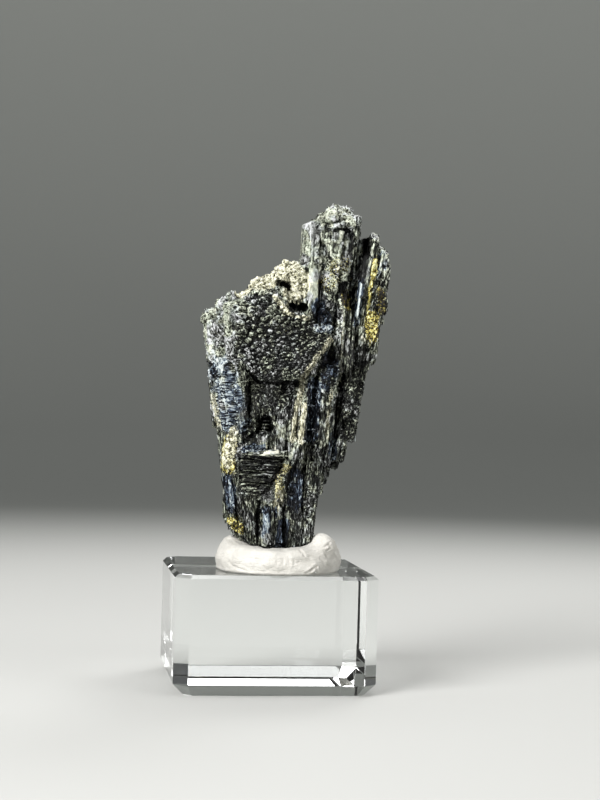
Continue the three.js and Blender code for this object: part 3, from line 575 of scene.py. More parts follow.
def distance_to_line(line, x, z):
    """How far each point is from a line of several stretches."""
    corners = list(zip(line[::2], line[1::2]))
    return np.minimum.reduce([beside_line(x, z, *ends)[1] for ends in zip(corners, corners[1:])])


def from_spot(points, right, up, wide, tall):
    """How far each point is from the middle of a spot of the front, as a share of its half size."""
    return np.hypot((points[:, 0] - right) / wide, (points[:, 2] - up) / tall)


def runs_across(points):
    return (points[:, 1] < 0) & (np.minimum.reduce([from_spot(points, *spot) for spot in CROSSWISE]) < 1)


def frontness(points, normals):
    """1 on what the front shows, and 0 behind."""
    facing = smooth_step(-normals[:, 1] - 0.05 * points[:, 1], -0.35, 0.1)
    return np.maximum(facing, smooth_step(-points[:, 1], 1.5, 3.0))


def marks_at(points, normals):
    """How strong each finish is at each point of the specimen, and how far its marks stand out."""
    front = frontness(points, normals)
    x = points[:, 0] + 0.16 * swell(points, 0.7, 43)
    z = points[:, 2] + 0.25 * swell(points, 0.8, 44)
    ragged = swell(points, 1.3, 42)
    found = {finish: np.zeros(len(points)) for finish in PATCHES}
    raised = np.zeros(len(points))
    level = [(finish, row[0], 0, *row[1:]) for finish, rows in PATCHES.items() for row in rows]
    for finish, strength, rise, half, *line in list(RIDGES) + level:
        distance = distance_to_line(line, x, z) / half
        share = (1 - smooth_step(distance, 0.6, 1.35)) * front
        found[finish] = np.maximum(found[finish], strength * np.clip(share * (1 + 0.4 * ragged), 0, 1))
        raised += rise * (1 - smooth_step(distance, 0.5, 1.1)) * front
    upright = straightened(points)
    for seed, (finish, amount) in enumerate(BEHIND.items(), 50):
        behind = smooth_step(swell(upright, (2.6, 2.6, 7.0), seed), 0.25, 0.75)
        found[finish] = np.maximum(found[finish], behind * amount * (1 - front))
    top = smooth_step(points[:, 2], 40, 44) * smooth_step(swell(points, 2.0, 61), -0.3, 0.4)
    found["cream"] = np.maximum(found["cream"], 0.8 * top * (1 - front) * (points[:, 0] < DRUSE_RIGHT))
    return found, raised


def grainy_at(points, on_plate):
    """1 where the surface is granular, and 0 where it is bladed."""
    x, z = points[:, 0], points[:, 2]
    knob = smooth_step(z, KNOB_FOOT, 52.0) * (x < KNOB_RIGHT)
    slope = smooth_step(z - 0.25 * np.abs(x + 2), 39.4, 41.4) * (x < COLUMN_LEFT)
    shoulder = smooth_step(z, 33, 36) * smooth_step(-x, 8.4, 9.6) * 0.5
    spots = [amount * (1 - smooth_step(from_spot(points, *spot), 0.7, 1.2)) * (points[:, 1] < 0.5)
             for *spot, amount in GRAINY_SPOTS]
    patches = smooth_step(swell(points, 3.2, 81), 0.05, 0.6) * 0.75 * (1 - smooth_step(z, 43, 46))
    return np.maximum.reduce([on_plate.astype(float), knob, slope, shoulder, patches, *spots])


def relief_height(mesh, rounds):
    """How far each corner stands above, or lies below, the smoothed surface round it, in mm."""
    points, normals = vertex_array(mesh) * 1000, vertex_array(mesh, "normal")
    edges = np.zeros(len(mesh.edges) * 2, np.int32)
    mesh.edges.foreach_get("vertices", edges)
    a, b = edges.reshape(-1, 2).T
    count = np.bincount(a, minlength=len(points)) + np.bincount(b, minlength=len(points))
    smooth = points.copy()
    for _ in range(rounds):
        smooth = np.column_stack([
            (np.bincount(a, smooth[b, k], len(points)) + np.bincount(b, smooth[a, k], len(points)))
            / np.maximum(count, 1) for k in range(3)])
    return np.sum((points - smooth) * normals, axis=1)


def plate_face(points):
    """How far back the plate's leaning face lies at each point's height."""
    return PLATE_FRONT + (points[:, 2] - PLATE_LOW) * PLATE_LEAN


def is_on_plate(points, depth=1.2):
    return in_outline(PLATE_OUTLINE, points[:, 0], points[:, 2]) & (points[:, 1] < plate_face(points) + depth)


body_mesh = applied("stibnite_body", mesh_of("stibnite_body", merged_copy("stibnite_cluster")),
                    "REMESH", mode="VOXEL", voxel_size=BODY_VOXEL * MM)
points = to_specimen(vertex_array(body_mesh))
normals = turn_to_specimen(vertex_array(body_mesh, "normal"))

# the plate's coarse face is laid flat again, for its own fine grains
on_plate = is_on_plate(points)
right, back, up = points.T
rows = np.sin(2 * math.pi * (up + 0.3 * right + 0.5 * swell(points, 3.0, 71)) / 1.3)
flat_face = plate_face(points) + 0.10 * rows + 0.25 * swell(points, 2.2, 72)
points[:, 1] = np.where(on_plate, np.maximum(flat_face, back * 0.15 + flat_face * 0.85), back)

# what stands over the skyline, such as the ends of the druse's lumps, is pressed down to it
sky = np.interp(right, SKYLINE[:, 0], SKYLINE[:, 1]) - 0.3
above = (right > SKYLINE[0, 0]) & (right < SKYLINE[-1, 0]) & (up > sky)
points[:, 2] = np.where(above, sky + 0.1 * (up - sky), up)

fan = straightened(points)
grainy = grainy_at(points, on_plate)
upright = (1 - smooth_step(np.abs(normals[:, 2]), 0.55, 0.85)) * (1 - grainy)
_, coarse_room, coarse_id, coarse_way = broken_cells(fan, BLADE_CELL, 3)
_, fine_room, fine_id, fine_way = broken_cells(fan, SPLINT_CELL, 17)
lump_near, _, lump_id, _ = broken_cells(points, LUMP_CELL, 31)
grain_near, _, grain_id, _ = broken_cells(points, GRAIN_CELL, 37)
lift = BLADE_STEP * (coarse_id - 0.62)
lean_right, lean_back = coarse_id * 7 % 1 - 0.5, coarse_id * 13 % 1 - 0.5
lift += BLADE_TILT * (coarse_way[:, 0] * lean_right + coarse_way[:, 1] * lean_back)
lift += SPLINT_STEP * (fine_id - 0.5) + SPLINT_TILT * fine_way[:, 0] * (fine_id * 11 % 1 - 0.5)
lift -= SPLINT_CRACK * crest(fine_room, 0.12) + BLADE_CRACK * crest(coarse_room, 0.07)
lumpy = 0.22 * (0.5 - lump_near ** 2) + 0.34 * (lump_id - 0.6)
lumpy = lumpy + 0.14 * (0.5 - grain_near ** 2) + 0.2 * (grain_id - 0.5)
plain = 0.16 * (0.5 - grain_near ** 2) + 0.12 * (grain_id - 0.5) + 0.10 * (0.5 - lump_near ** 2)
on_shoulder = (points[:, 0] < -7.6) & (points[:, 2] > 30)
lumpy *= 1 - 0.55 * (on_shoulder | (points[:, 2] > COLUMN_FOOT))
lift = lift * upright + np.where(on_plate, plain, lumpy) * np.maximum(grainy, 1 - upright - grainy)
found, raised = marks_at(points, normals)
lift = lift * (1 - 0.8 * found["polish"]) + raised + 0.06 * swell(points, 0.45, 73)
lift *= smooth_step(points[:, 2], -1.4, 0.2)   # the foot in its pocket keeps its shape
points += normals * lift[:, None]
body_mesh.vertices.foreach_set("co", to_row(points).astype(np.float32).ravel())
body_mesh.update()
triangles = 2 * len(body_mesh.polygons)
if triangles > BODY_TRIANGLES:
    body_mesh = applied("stibnite_body", body_mesh, "DECIMATE", ratio=BODY_TRIANGLES / triangles)


def dress(mesh, tone=None, relief=0.0, facing=None, polish=0.0, plain=0.0):
    """Stores on the mesh what its material reads: the finishes, the straightened place, and a brightness of
    tone with painted highlights and painted shade.
    """
    points = to_specimen(vertex_array(mesh))
    if facing is None:
        facing = turn_to_specimen(vertex_array(mesh, "normal"))
    found, _ = marks_at(points, facing)
    on_plate = is_on_plate(points, 2.0)
    brightness = found["bright"] * PALE_TONE_AND_GLINT - found["dark"] * DARK_TONE_AND_SHADE + RIDGE_LIGHT_HOLLOW_SHADE * relief
    if tone is None:
        # painted shade: the body is darkened under the plate's granules and behind the ledge's sheets, so
        # that the gaps between them look black
        on_ledge = in_outline(LEDGE_OUTLINE, points[:, 0], points[:, 2]) & (points[:, 1] < 0)
        brightness = brightness - PLATE_GAP_SHADE * on_plate - LEDGE_GAP_SHADE * on_ledge
    else:
        brightness = brightness + OWN_TONE * (tone - 0.5)
    line_place = straightened(points)
    turned = runs_across(points)
    line_place[turned] = line_place[turned][:, [2, 1, 0]]
    found["polish"] = np.maximum(found["polish"], polish)
    stored = {finish: found[finish] for finish in ("tarnish", "ochre", "cream", "polish")}
    stored.update(brightness=brightness, plain=np.full(len(points), plain), line_place=line_place,
                  grainy=grainy_at(points, on_plate))
    for name, values in stored.items():
        made = mesh.attributes.new(name, "FLOAT" if values.ndim == 1 else "FLOAT_VECTOR", "POINT")
        made.data.foreach_set("value" if values.ndim == 1 else "vector", values.astype(np.float32).ravel())


# painted light and shade: the body's ridges are painted paler and its hollows darker, by how far each corner
# stands out from the smoothed surface round it
dress(body_mesh, relief=np.clip(relief_height(body_mesh, 14) / 0.25, -1, 1))

# metallic stibnite: tiny cleavage faces that mirror the light, with painted shade that darkens the hollows
# between them nearly to black, painted highlights that make the ridges paler, and pale dust along the
# broken edges. Steel-blue tarnish, cream and ochre crusts lie over it in patches. The finest striations
# of the real mineral can't show, so the splints are drawn as coarse as they need to.
stibnite, tree, shader = start_material("lead-grey stibnite")
place = add_node("TexCoord").outputs["Object"]
line_place = add_node("Attribute", attribute_name="line_place").outputs["Vector"]
brightness, cream_amount, ochre_amount, tarnish_amount, polish, grainy, plain = (
    add_node("Attribute", attribute_name=name).outputs["Fac"]
    for name in ("brightness", "cream", "ochre", "tarnish", "polish", "grainy", "plain"))

# a random colour for each blade, each splint and each flake: how big they are, and how far they lean
cells, lean = [], (0, 0, 0)
for vector, size, reach in ((line_place, (0.45, 0.45, 3.0), (0.4, 0.4, 0.1)),
                            (line_place, (0.16, 0.16, 0.6), (0.5, 0.5, 0.3)),
                            (place, (0.23 * MM, 0.23 * MM, 0.21 * MM), (0.5, 0.5, 0.5))):
    sized = add_node("VectorMath", (vector, [1 / s for s in size]), operation="MULTIPLY")
    numbers = add_node("TexVoronoi", {"Vector": sized, "Scale": 1.0}).outputs["Color"]
    cells.append(add_node("SeparateColor", (numbers,)).outputs)
    centred = add_node("VectorMath", (numbers, (0.5, 0.5, 0.5)), operation="SUBTRACT")
    lean = add_node("VectorMath", (centred, reach, lean), operation="MULTIPLY_ADD")
blade, splint, flake = cells
crumbs = add_node("TexNoise", {"Vector": place, "Scale": 1 / (0.22 * MM), "Detail": 2.0})
worms = add_node("TexNoise", {"Vector": place, "Scale": 1 / (0.7 * MM), "Detail": 1.0})
broad = add_node("TexNoise", {"Vector": place, "Scale": 1 / (1.3 * MM), "Detail": 3.0})
stretched = add_node("VectorMath", (line_place, (2.5, 2.5, 0.45)), operation="MULTIPLY")
grooves = add_node("TexNoise", {"Vector": stretched, "Scale": 1.0, "Detail": 2.0})

# how pale each little face is: a chance for each, moved by where it lies
grain_share = add_node("Math", (grainy, 0.85, 0.15), operation="MULTIPLY_ADD")
chance = add_node("Mix", {"Factor": grain_share, "A": splint[0], "B": flake[0]}, data_type="FLOAT")
chance = add_node("Mix", {"Factor": plain, "A": chance, "B": 0.5}, data_type="FLOAT")
value = add_node("Math", (chance, 0.30), operation="MULTIPLY")
value = add_node("Math", (blade[1], 0.08, value), operation="MULTIPLY_ADD")
value = add_node("Math", (crumbs, 0.36, value), operation="MULTIPLY_ADD")
# curling pale edges, and dark cracks between them, run along the blades or round the grains
curls = add_node("SeparateColor", (worms.outputs["Color"],)).outputs
strokes = add_node("SeparateColor", (grooves.outputs["Color"],)).outputs
for channel, wide, weight in ((0, 0.08, 0.52), (1, 0.08, -0.50), (2, 0.06, 0.28)):
    line = add_node("Mix", {"Factor": grain_share, "A": strokes[channel], "B": curls[channel]},
                    data_type="FLOAT")
    line = add_node("Math", (line, 0.5), operation="SUBTRACT")
    line = add_node("Math", (line,), operation="ABSOLUTE")
    line = add_node("MapRange", {"Value": line, "From Max": wide, "To Min": 1.0, "To Max": 0.0})
    value = add_node("Math", (line, weight, value), operation="MULTIPLY_ADD")
value = add_node("Math", (value, 0.05), operation="SUBTRACT")
# a polished face is more even, before its own brightness is added
evened = add_node("Math", (0.48, value), operation="SUBTRACT")
even_share = add_node("Math", (polish, 0.7), operation="MULTIPLY")
value = add_node("Math", (evened, even_share, value), operation="MULTIPLY_ADD")
value = add_node("Math", (value, brightness), operation="ADD")
metal = add_node("ValToRGB", {"Fac": value}, (
    (0.17, "#050605"), (0.35, "#292a26"), (0.51, "#5a5c54"), (0.67, "#8c8f86"), (0.84, "#b4b8ae"),
    (1.0, "#d6d9d2")))
blue = add_node("ValToRGB", {"Fac": value}, (
    (0.16, "#05070d"), (0.36, "#1d2536"), (0.52, "#465569"), (0.68, "#8b99a4"), (0.94, "#d2dad9")))
ochre = add_node("ValToRGB", {"Fac": value}, (
    (0.1, "#171307"), (0.32, "#554a1b"), (0.5, "#a6953e"), (0.68, "#d5cb70"), (0.92, "#ecebba")))
cream = add_node("ValToRGB", {"Fac": value}, (
    (0.05, "#25241a"), (0.28, "#6d6b54"), (0.46, "#aeab8e"), (0.64, "#d2d0b8"), (0.9, "#e8e6d6")))
hue = add_node("TexNoise", {"Vector": place, "Scale": 1 / (2.4 * MM), "Detail": 2.0})
hue = add_node("MapRange", {"Value": hue, "From Min": 0.4, "From Max": 0.6})
tint = add_node("ValToRGB", {"Fac": hue}, (
    (0.0, "#f3f1fc"), (0.3, "#f4f9fd"), (0.65, "#fdfcf0"), (1.0, "#f4f8ec")))
colour = add_node("Mix", {"Factor": 1.0, MIX_A: metal, MIX_B: tint}, data_type="RGBA",
                  blend_type="MULTIPLY")
# each finish lies over the metal, and breaks up into specks where it is weak
shares = []
for amount, noise in ((tarnish_amount, broad), (ochre_amount, crumbs), (cream_amount, crumbs)):
    low = add_node("Math", (0.92, amount), operation="SUBTRACT")
    high = add_node("Math", (low, 0.16), operation="ADD")
    share = add_node("MapRange", {"Value": noise, "From Min": low, "From Max": high})
    there = add_node("Math", (amount, 0.03), operation="GREATER_THAN")
    shares.append(add_node("Math", (share, there), operation="MULTIPLY"))
blue_share, ochre_share, cream_share = shares
blue_share = add_node("Math", (blue_share, 0.88), operation="MULTIPLY")
for share, finish in ((blue_share, blue), (ochre_share, ochre), (cream_share, cream)):
    colour = add_node("Mix", {"Factor": share, MIX_A: colour, MIX_B: finish}, data_type="RGBA")
crust = add_node("Math", (cream_share, ochre_share), operation="MAXIMUM")
dust = add_node("MapRange", {"Value": value, "From Min": 0.45, "From Max": 0.85, "To Max": 0.8})
dust = add_node("Math", (crust, dust), operation="MAXIMUM")
bare = add_node("Math", (1.0, dust), operation="SUBTRACT", use_clamp=True)
metallic = add_node("Math", (bare, 0.6), operation="MULTIPLY")
rough = add_node("Math", (splint[2], 0.16, 0.30), operation="MULTIPLY_ADD")
rough = add_node("Math", (dust, 0.25, rough), operation="MULTIPLY_ADD")
rough = add_node("Math", (plain, 0.25, rough), operation="MULTIPLY_ADD")

# each little face leans its own way, which gives the glitter
unpolished = add_node("Math", (1.0, polish), operation="SUBTRACT")
lean = add_node("VectorMath", {0: lean, "Scale": unpolished}, operation="SCALE")
facing = add_node("VectorMath", (add_node("NewGeometry").outputs["Normal"], lean), operation="ADD")
facing = add_node("VectorMath", (facing,), operation="NORMALIZE")
bump = add_node("Bump", {"Height": grooves, "Strength": 0.6, "Distance": 0.12 * MM, "Normal": facing})
bump = add_node("Bump", {"Height": crumbs, "Strength": 0.4, "Distance": 0.12 * MM, "Normal": bump})
fill_sockets(shader, {"Base Color": colour, "Metallic": metallic, "Roughness": rough, "Normal": bump})

body = place_mesh("stibnite_body", body_mesh, stibnite)
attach(body, "root")
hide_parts("stibnite_cluster")

# ---------------------------------------------------------------- stibnite: needles and chips
# The outer crystals of the fan: thin laths and needles of the same metal, side by side along it, and
# angular chips where the mass is granular. Each grew there and is broken off with a slanting end.
NEEDLE_TRIES = 11000
CHIP_TRIES = 6000
NEEDLE_LENGTHS, NEEDLE_WIDTHS, CHIP_SIZES = (0.5, 3.2), (0.16, 0.36), (0.26, 0.55)
HIGHEST_LIFT, DEEPEST_SINK = 0.13, -0.4   # where a needle would stand clear of the body, or vanish in it
SHORTEST_NEEDLE, HIGH_UP, TRIM_HIGH_UP, TRIM = 0.4, 42, 0.5, 0.12   # upper ends are cut shorter high up
WANDER, ROLL, SHORT_ACROSS = 0.05, 0.35, 0.45   # how unevenly needles lie, and how short those across are
COLUMNS_ABOVE, SMOOTH_RIGHT = 46, 2.8   # the tall columns have fewer chips, and the left one hardly any
SHAPE_KINDS, RANDOM_SEED = 6, 20240611
random_numbers = np.random.default_rng(RANDOM_SEED)


def shape_arrays(shape):
    """A small shape's corners and triangles, for planting many copies."""
    bmesh.ops.triangulate(shape, faces=shape.faces[:])
    mesh = mesh_of("one", shape)
    corners, faces = vertex_array(mesh), np.zeros(len(mesh.polygons) * 3, np.int32)
    mesh.polygons.foreach_get("vertices", faces)
    bpy.data.meshes.remove(mesh)
    return corners, faces.reshape(-1, 3)


def side_of(vert, sides):
    """Which side of a small prism a corner stands on."""
    return round(math.atan2(vert.co.y, vert.co.x) / math.tau * sides) % sides


def slant_end(vert, slant):
    """Moves a corner up or down onto a slanting break, one for each end."""
    end = 0 if vert.co.z > 0 else 2
    vert.co.z += vert.co.x * slant[end] + vert.co.y * slant[end + 1]


def needle_shape(seed, sides=5):
    """A crystal one unit long and wide, with a slanting broken end."""
    pick = np.random.default_rng(seed)
    shape = bmesh.new()
    bmesh.ops.create_cone(shape, cap_ends=True, segments=sides, radius1=0.5, radius2=0.44, depth=1)
    slant = pick.uniform(-0.2, 0.2, 4)
    shares = pick.uniform(0.75, 1.0, sides)
    for vert in shape.verts:
        side = side_of(vert, sides)
        vert.co.x *= shares[side]
        vert.co.y *= shares[side]
        slant_end(vert, slant)
    return shape_arrays(shape)


def chip_shape(seed, rounds=1, jitter=0.3):
    """An angular chip, or with more rounds a rounded grain, one unit across."""
    pick = np.random.default_rng(seed)
    shape = bmesh.new()
    bmesh.ops.create_icosphere(shape, subdivisions=rounds, radius=0.5)
    for vert in shape.verts:
        vert.co *= 1 - jitter * pick.random()
    return shape_arrays(shape)


def planted(name, shapes, rows, rim, painted_rim_light):
    """One mesh from many copies. A row is a shape's number, its middle, its three axes, a tone and the
    way that the body faces there. Of the two numbers after the rows, the first paints the upper left of
    each copy paler, as painted light from the upper left, and the second paints a pale rim, brightest at
    the upper left, round a darker middle, as painted rim light."""
    corners, faces, tones, facings, start = [], [], [], [], 0
    for index, middle, axes, tone, facing in rows:
        shape_corners, shape_faces = shapes[index]
        offsets = shape_corners @ np.asarray(axes)
        outward = offsets / (np.linalg.norm(offsets, axis=1)[:, None] + 1e-9)
        corners.append(offsets + middle)
        faces.append(shape_faces + start)
        ahead, upper = -outward[:, 1], np.clip(outward @ np.array([-0.5, 0, 0.86]) + 0.4, 0, 1)
        edge = crest(ahead - 0.45, 0.25) * (0.3 + 0.7 * upper) - 0.5 * smooth_step(ahead, 0.7, 1.0)
        tones.append(tone + rim * outward @ np.array([-0.45, -0.3, 0.84]) + painted_rim_light * edge)
        facings.append(np.tile(facing, (len(shape_corners), 1)))
        start += len(shape_corners)
    corners, faces = np.concatenate(corners), np.concatenate(faces)
    mesh = bpy.data.meshes.new(name)
    mesh.vertices.add(len(corners))
    mesh.vertices.foreach_set("co", to_row(corners).astype(np.float32).ravel())
    mesh.loops.add(3 * len(faces))
    mesh.loops.foreach_set("vertex_index", faces.astype(np.int32).ravel())
    mesh.polygons.add(len(faces))
    mesh.polygons.foreach_set("loop_start", np.arange(0, 3 * len(faces), 3, dtype=np.int32))
    mesh.update(calc_edges=True)
    mesh.validate()
    return mesh, np.concatenate(tones), np.concatenate(facings)


def fix_stibnite(name, shapes, rows, lighter=0.0, rim=0.0, painted_rim_light=0.0, polish=0.0, plain=0.0):
    mesh, tones, facings = planted(name, shapes, rows, rim, painted_rim_light)
    dress(mesh, tones + lighter, facing=facings, polish=polish, plain=plain)
    piece = place_mesh(name, mesh, stibnite)
    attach(piece, "root")
    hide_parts("stibnite_cluster")


def unit(vector):
    return vector / max(np.linalg.norm(vector), 1e-9)


def long_axes(way, outward, wide, deep, length):
    """The three axes of a crystal that lies along a way on the surface."""
    return np.cross(way, outward) * wide, outward * deep, way * length


def tumbled():
    """Three axes turned at random."""
    angle = random_numbers.uniform(0, math.tau)
    return np.array(Matrix.Rotation(angle, 3, Vector(random_numbers.normal(0, 1, 3))))


body_bmesh = bmesh.new()
body_bmesh.from_mesh(body_mesh)
body_tree = BVHTree.FromBMesh(body_bmesh)
body_bmesh.free()
body_points = to_specimen(vertex_array(body_mesh))
body_normals = turn_to_specimen(vertex_array(body_mesh, "normal"))
body_found, _ = marks_at(body_points, body_normals)
body_on_plate = is_on_plate(body_points)
body_grainy = grainy_at(body_points, body_on_plate)


def height_above(point):
    """How far a point, in the specimen's mm, lies outside the body."""
    where = Vector(to_row(np.array([point]))[0])
    nearest, normal, _, _ = body_tree.find_nearest(where)
    return (where - nearest).dot(normal) * 1000


def run_along(start, way, longest, stride=0.3):
    """How far a needle can run from here before it leaves the surface or sinks into it."""
    reach = 0.0
    while reach < longest:
        height = height_above(start + way * (reach + stride))
        if height > HIGHEST_LIFT or height < DEEPEST_SINK:
            break
        reach += stride
    return reach


needle_shapes = [needle_shape(k) for k in range(SHAPE_KINDS)]
steep = np.abs(np.sum(body_normals * fan_direction(body_points), axis=1))
calm = (body_found["polish"] < 0.3) & (body_found["dark"] < 0.85) & (body_points[:, 2] > 0.3)
on_columns = body_points[:, 2] > COLUMNS_ABOVE
smooth_side = on_columns & (body_points[:, 0] < SMOOTH_RIGHT)
crosswise = runs_across(body_points)
fit = np.flatnonzero(calm & (body_grainy < 0.55) & (steep < 0.5))
needle_rows = []
for start in random_numbers.choice(fit, NEEDLE_TRIES):
    point, normal = body_points[start], body_normals[start]
    way = fan_direction(point[None])[0]
    if crosswise[start]:
        way = unit(np.cross(normal, way) + 0.15 * way)
    way = unit(way + random_numbers.normal(0, WANDER, 3))
    longest = random_numbers.uniform(*NEEDLE_LENGTHS) * (SHORT_ACROSS if crosswise[start] else 1.0)
    up_reach, down_reach = run_along(point, way, longest / 2), run_along(point, -way, longest / 2)
    up_reach = max(up_reach - (TRIM_HIGH_UP if point[2] > HIGH_UP else TRIM), 0.0)
    length = up_reach + down_reach
    if length < SHORTEST_NEEDLE:
        continue
    outward = unit(normal - way * normal.dot(way))
    outward = unit(outward + np.cross(way, outward) * random_numbers.normal(0, ROLL))
    wide = random_numbers.uniform(*NEEDLE_WIDTHS)
    deep = wide * random_numbers.uniform(0.6, 1.0)
    middle = point + way * (up_reach - down_reach) / 2 + outward * random_numbers.uniform(-0.04, 0.10)
    axes = long_axes(way, outward, wide, deep, length)
    needle_rows.append((random_numbers.integers(SHAPE_KINDS), middle, axes,
                        0.5 + 2.0 * (random_numbers.random() - 0.5), normal))
fix_stibnite("stibnite_needles", needle_shapes, needle_rows)

chip_shapes = [chip_shape(60 + k) for k in range(SHAPE_KINDS)]
chances = (0.15 + body_grainy) * calm * (1 - 0.6 * body_on_plate) * (1 - 0.9 * smooth_side)
chances *= 1 - 0.5 * on_columns
chip_rows = []
for start in random_numbers.choice(len(body_points), CHIP_TRIES, p=chances / chances.sum()):
    axes = tumbled()
    size = random_numbers.uniform(*CHIP_SIZES)
    stretch = np.array([1, random_numbers.uniform(0.6, 1.0), random_numbers.uniform(0.6, 1.4)])[:, None]
    middle = body_points[start] + body_normals[start] * random_numbers.uniform(-0.08, 0.10)
    chip_rows.append((random_numbers.integers(SHAPE_KINDS), middle, axes * size * stretch,
                      random_numbers.random(), body_normals[start]))
fix_stibnite("stibnite_chips", chip_shapes, chip_rows)

# ---------------------------------------------------------------- stibnite: plate granules and lumps
# Granules of the same metal, grown side by side, pack the coarse face: large at its upper left and
# finer, in rows, at its lower right. Crusted lumps grew on it as the druse, the knob and the knots.
KNOTS = (  # right, up, size: single lumps of the front, mm
    (3.7, 39.2, 1.4), (4.8, 38.2, 1.5), (3.9, 37.4, 1.2), (5.4, 36.9, 1.3), (3.8, 35.2, 1.6),
    (4.8, 35.3, 1.8), (5.8, 35.4, 1.2), (13.8, 41.2, 1.5), (14.2, 39.9, 1.5), (14.0, 38.7, 1.2),
    (-8.3, 18.6, 1.0), (-8.9, 17.6, 1.0), (-9.4, 16.5, 1.1), (-9.5, 15.2, 1.1), (-8.7, 16.2, 0.8),
    (-9.8, 14.1, 0.9), (-8.4, 4.6, 1.1), (-7.8, 3.9, 1.0), (-8.6, 3.6, 0.9), (12.2, 38.3, 1.2),
    (12.8, 37.2, 1.1), (12.0, 36.4, 1.0), (12.6, 35.4, 1.1), (13.1, 39.2, 1.0), (0.8, 37.0, 0.9),
    (1.9, 36.8, 0.8), (-0.3, 37.5, 0.9), (-2.2, 39.1, 1.0), (-2.9, 40.2, 1.1), (-6.6, 42.9, 1.2),
    (-5.7, 43.1, 1.1), (-5.1, 42.3, 1.1), (-3.9, 43.0, 1.3), (-2.6, 43.6, 1.1), (-2.0, 44.7, 1.3),
    (-1.4, 45.9, 1.4), (-0.5, 46.0, 1.0), (0.3, 45.8, 1.3), (0.2, 44.6, 1.3), (1.3, 44.6, 1.2),
    (1.6, 43.4, 1.1), (0.2, 41.7, 1.4), (-1.7, 41.5, 1.1), (1.8, 42.2, 1.1), (0.9, 40.4, 1.1),
    (-0.6, 40.9, 1.0), (-6.9, 42.2, 1.0),
)
DRUSE_LUMPS, KNOB_LUMPS, GRAIN_TRIES, GRAIN_SPACING, PLATE_BACK = 300, 180, 9000, 0.52, -5.5
NUGGET_LEFT, BLUE_LEFT, BLUE_LOW, BLUE_HIGH, KNOT_DARKER = 13.2, 3, 36.5, 39.5, 1.3   # the dark knots
COARSE_WIDE, COARSE_TALL, FINER_WIDE, FINER_TALL = 1.60, 1.10, 0.80, 0.60   # granules, and how much finer
COARSEST_RIGHT, COARSEST_UP, FINEST_AFTER = -6.0, 38.5, 13
PLATE_REACH = ((-9, 6.4), (26.8, 41.2))   # right and up: where granules are tried
LOOK_FROM, LOOK_LOWER, LOOKS = -30.0, 0.3, 12


def surface_from_front(x, z):
    """Where a line from the front meets the body at this place, or just below it."""
    way = Vector(to_row(np.array([[0.0, 1.0, 0.0]]))[0] / MM - FOOT_PLACE)
    for lower in range(LOOKS):
        start = Vector(to_row(np.array([[x, LOOK_FROM, z - LOOK_LOWER * lower]]))[0])
        hit = body_tree.ray_cast(start, way)[0]
        if hit is not None:
            break
    place = to_specimen(np.array([hit]))[0]
    place[2] = z
    return place


def lump_row(middle, normal, size, squash):
    axes = tumbled()
    return (random_numbers.integers(SHAPE_KINDS), middle, axes * size @ np.diag(squash),
            random_numbers.random(), normal)


grain_shapes = [chip_shape(80 + k, rounds=2, jitter=0.40) for k in range(SHAPE_KINDS)]
grain_rows, taken = [], []
for _ in range(GRAIN_TRIES):
    x, z = (random_numbers.uniform(*span) for span in PLATE_REACH)
    if not in_outline(PLATE_OUTLINE, np.array([x]), np.array([z]))[0]:
        continue
    fineness = min(max((x - COARSEST_RIGHT + COARSEST_UP - z) / FINEST_AFTER, 0), 1)
    wide, tall = COARSE_WIDE - FINER_WIDE * fineness, COARSE_TALL - FINER_TALL * fineness
    if any(((x - a) / wide) ** 2 + ((z - b) / tall) ** 2 < GRAIN_SPACING for a, b in taken):
        continue
    place = surface_from_front(x, z)
    if place[1] > PLATE_BACK:
        continue
    taken.append((x, z))
    size = random_numbers.uniform(0.75, 1.25)
    wide *= random_numbers.uniform(0.8, 1.3)
    tall *= random_numbers.uniform(0.8, 1.2)
    place[1] += random_numbers.uniform(-0.12, 0.16)
    row = lump_row(place, (0, -1, 0), size, (wide, 0.8 * wide, tall))
    tipped = np.array(Matrix.Rotation(random_numbers.normal(0.15, 0.3), 3, "Y"))
    grain_rows.append(row[:2] + (row[2] @ tipped, 2.6 * row[3] + 0.1 - 0.9 * fineness, row[4]))
# painted light: each granule is painted paler on its upper left and round its rim, over a darker middle
fix_stibnite("stibnite_plate_grains", grain_shapes, grain_rows, lighter=-0.4, rim=1.0, painted_rim_light=1.8, plain=0.4)

grain_rows = []
for x, z, size in KNOTS:
    row = lump_row(surface_from_front(x, z), (0, -1, 0), size, (1.0, 0.9, 1.0))
    on_nugget, on_blue_lumps = x > NUGGET_LEFT, x > BLUE_LEFT and BLUE_LOW < z < BLUE_HIGH
    grain_rows.append(row[:3] + (row[3] - (KNOT_DARKER if on_nugget or on_blue_lumps else 0.0), row[4]))
on_druse = (body_found["cream"] > 0.55) & (body_points[:, 0] < DRUSE_RIGHT) & (body_points[:, 2] > 38)
on_knob = (body_points[:, 2] > KNOB_FOOT + 0.3) & (body_points[:, 0] < KNOB_RIGHT)
for zone, many, sunk, paler in ((on_druse, DRUSE_LUMPS, 0.16, 0.5), (on_knob, KNOB_LUMPS, 0.28, -0.9)):
    for start in random_numbers.choice(np.flatnonzero(zone & calm), many):
        size = 0.4 + (0.9 if body_points[start, 2] < 47 else 0.45) * random_numbers.random() ** 2
        row = lump_row(body_points[start] - sunk * size * body_normals[start], body_normals[start], size,
                       (1.0, 0.9, 0.85))
        grain_rows.append(row[:3] + (row[3] + paler, row[4]))
# painted light: each lump is painted paler on its upper left and round its rim, over a darker middle
fix_stibnite("stibnite_granules", grain_shapes, grain_rows, lighter=0.7, rim=0.7, painted_rim_light=0.8, plain=0.5)

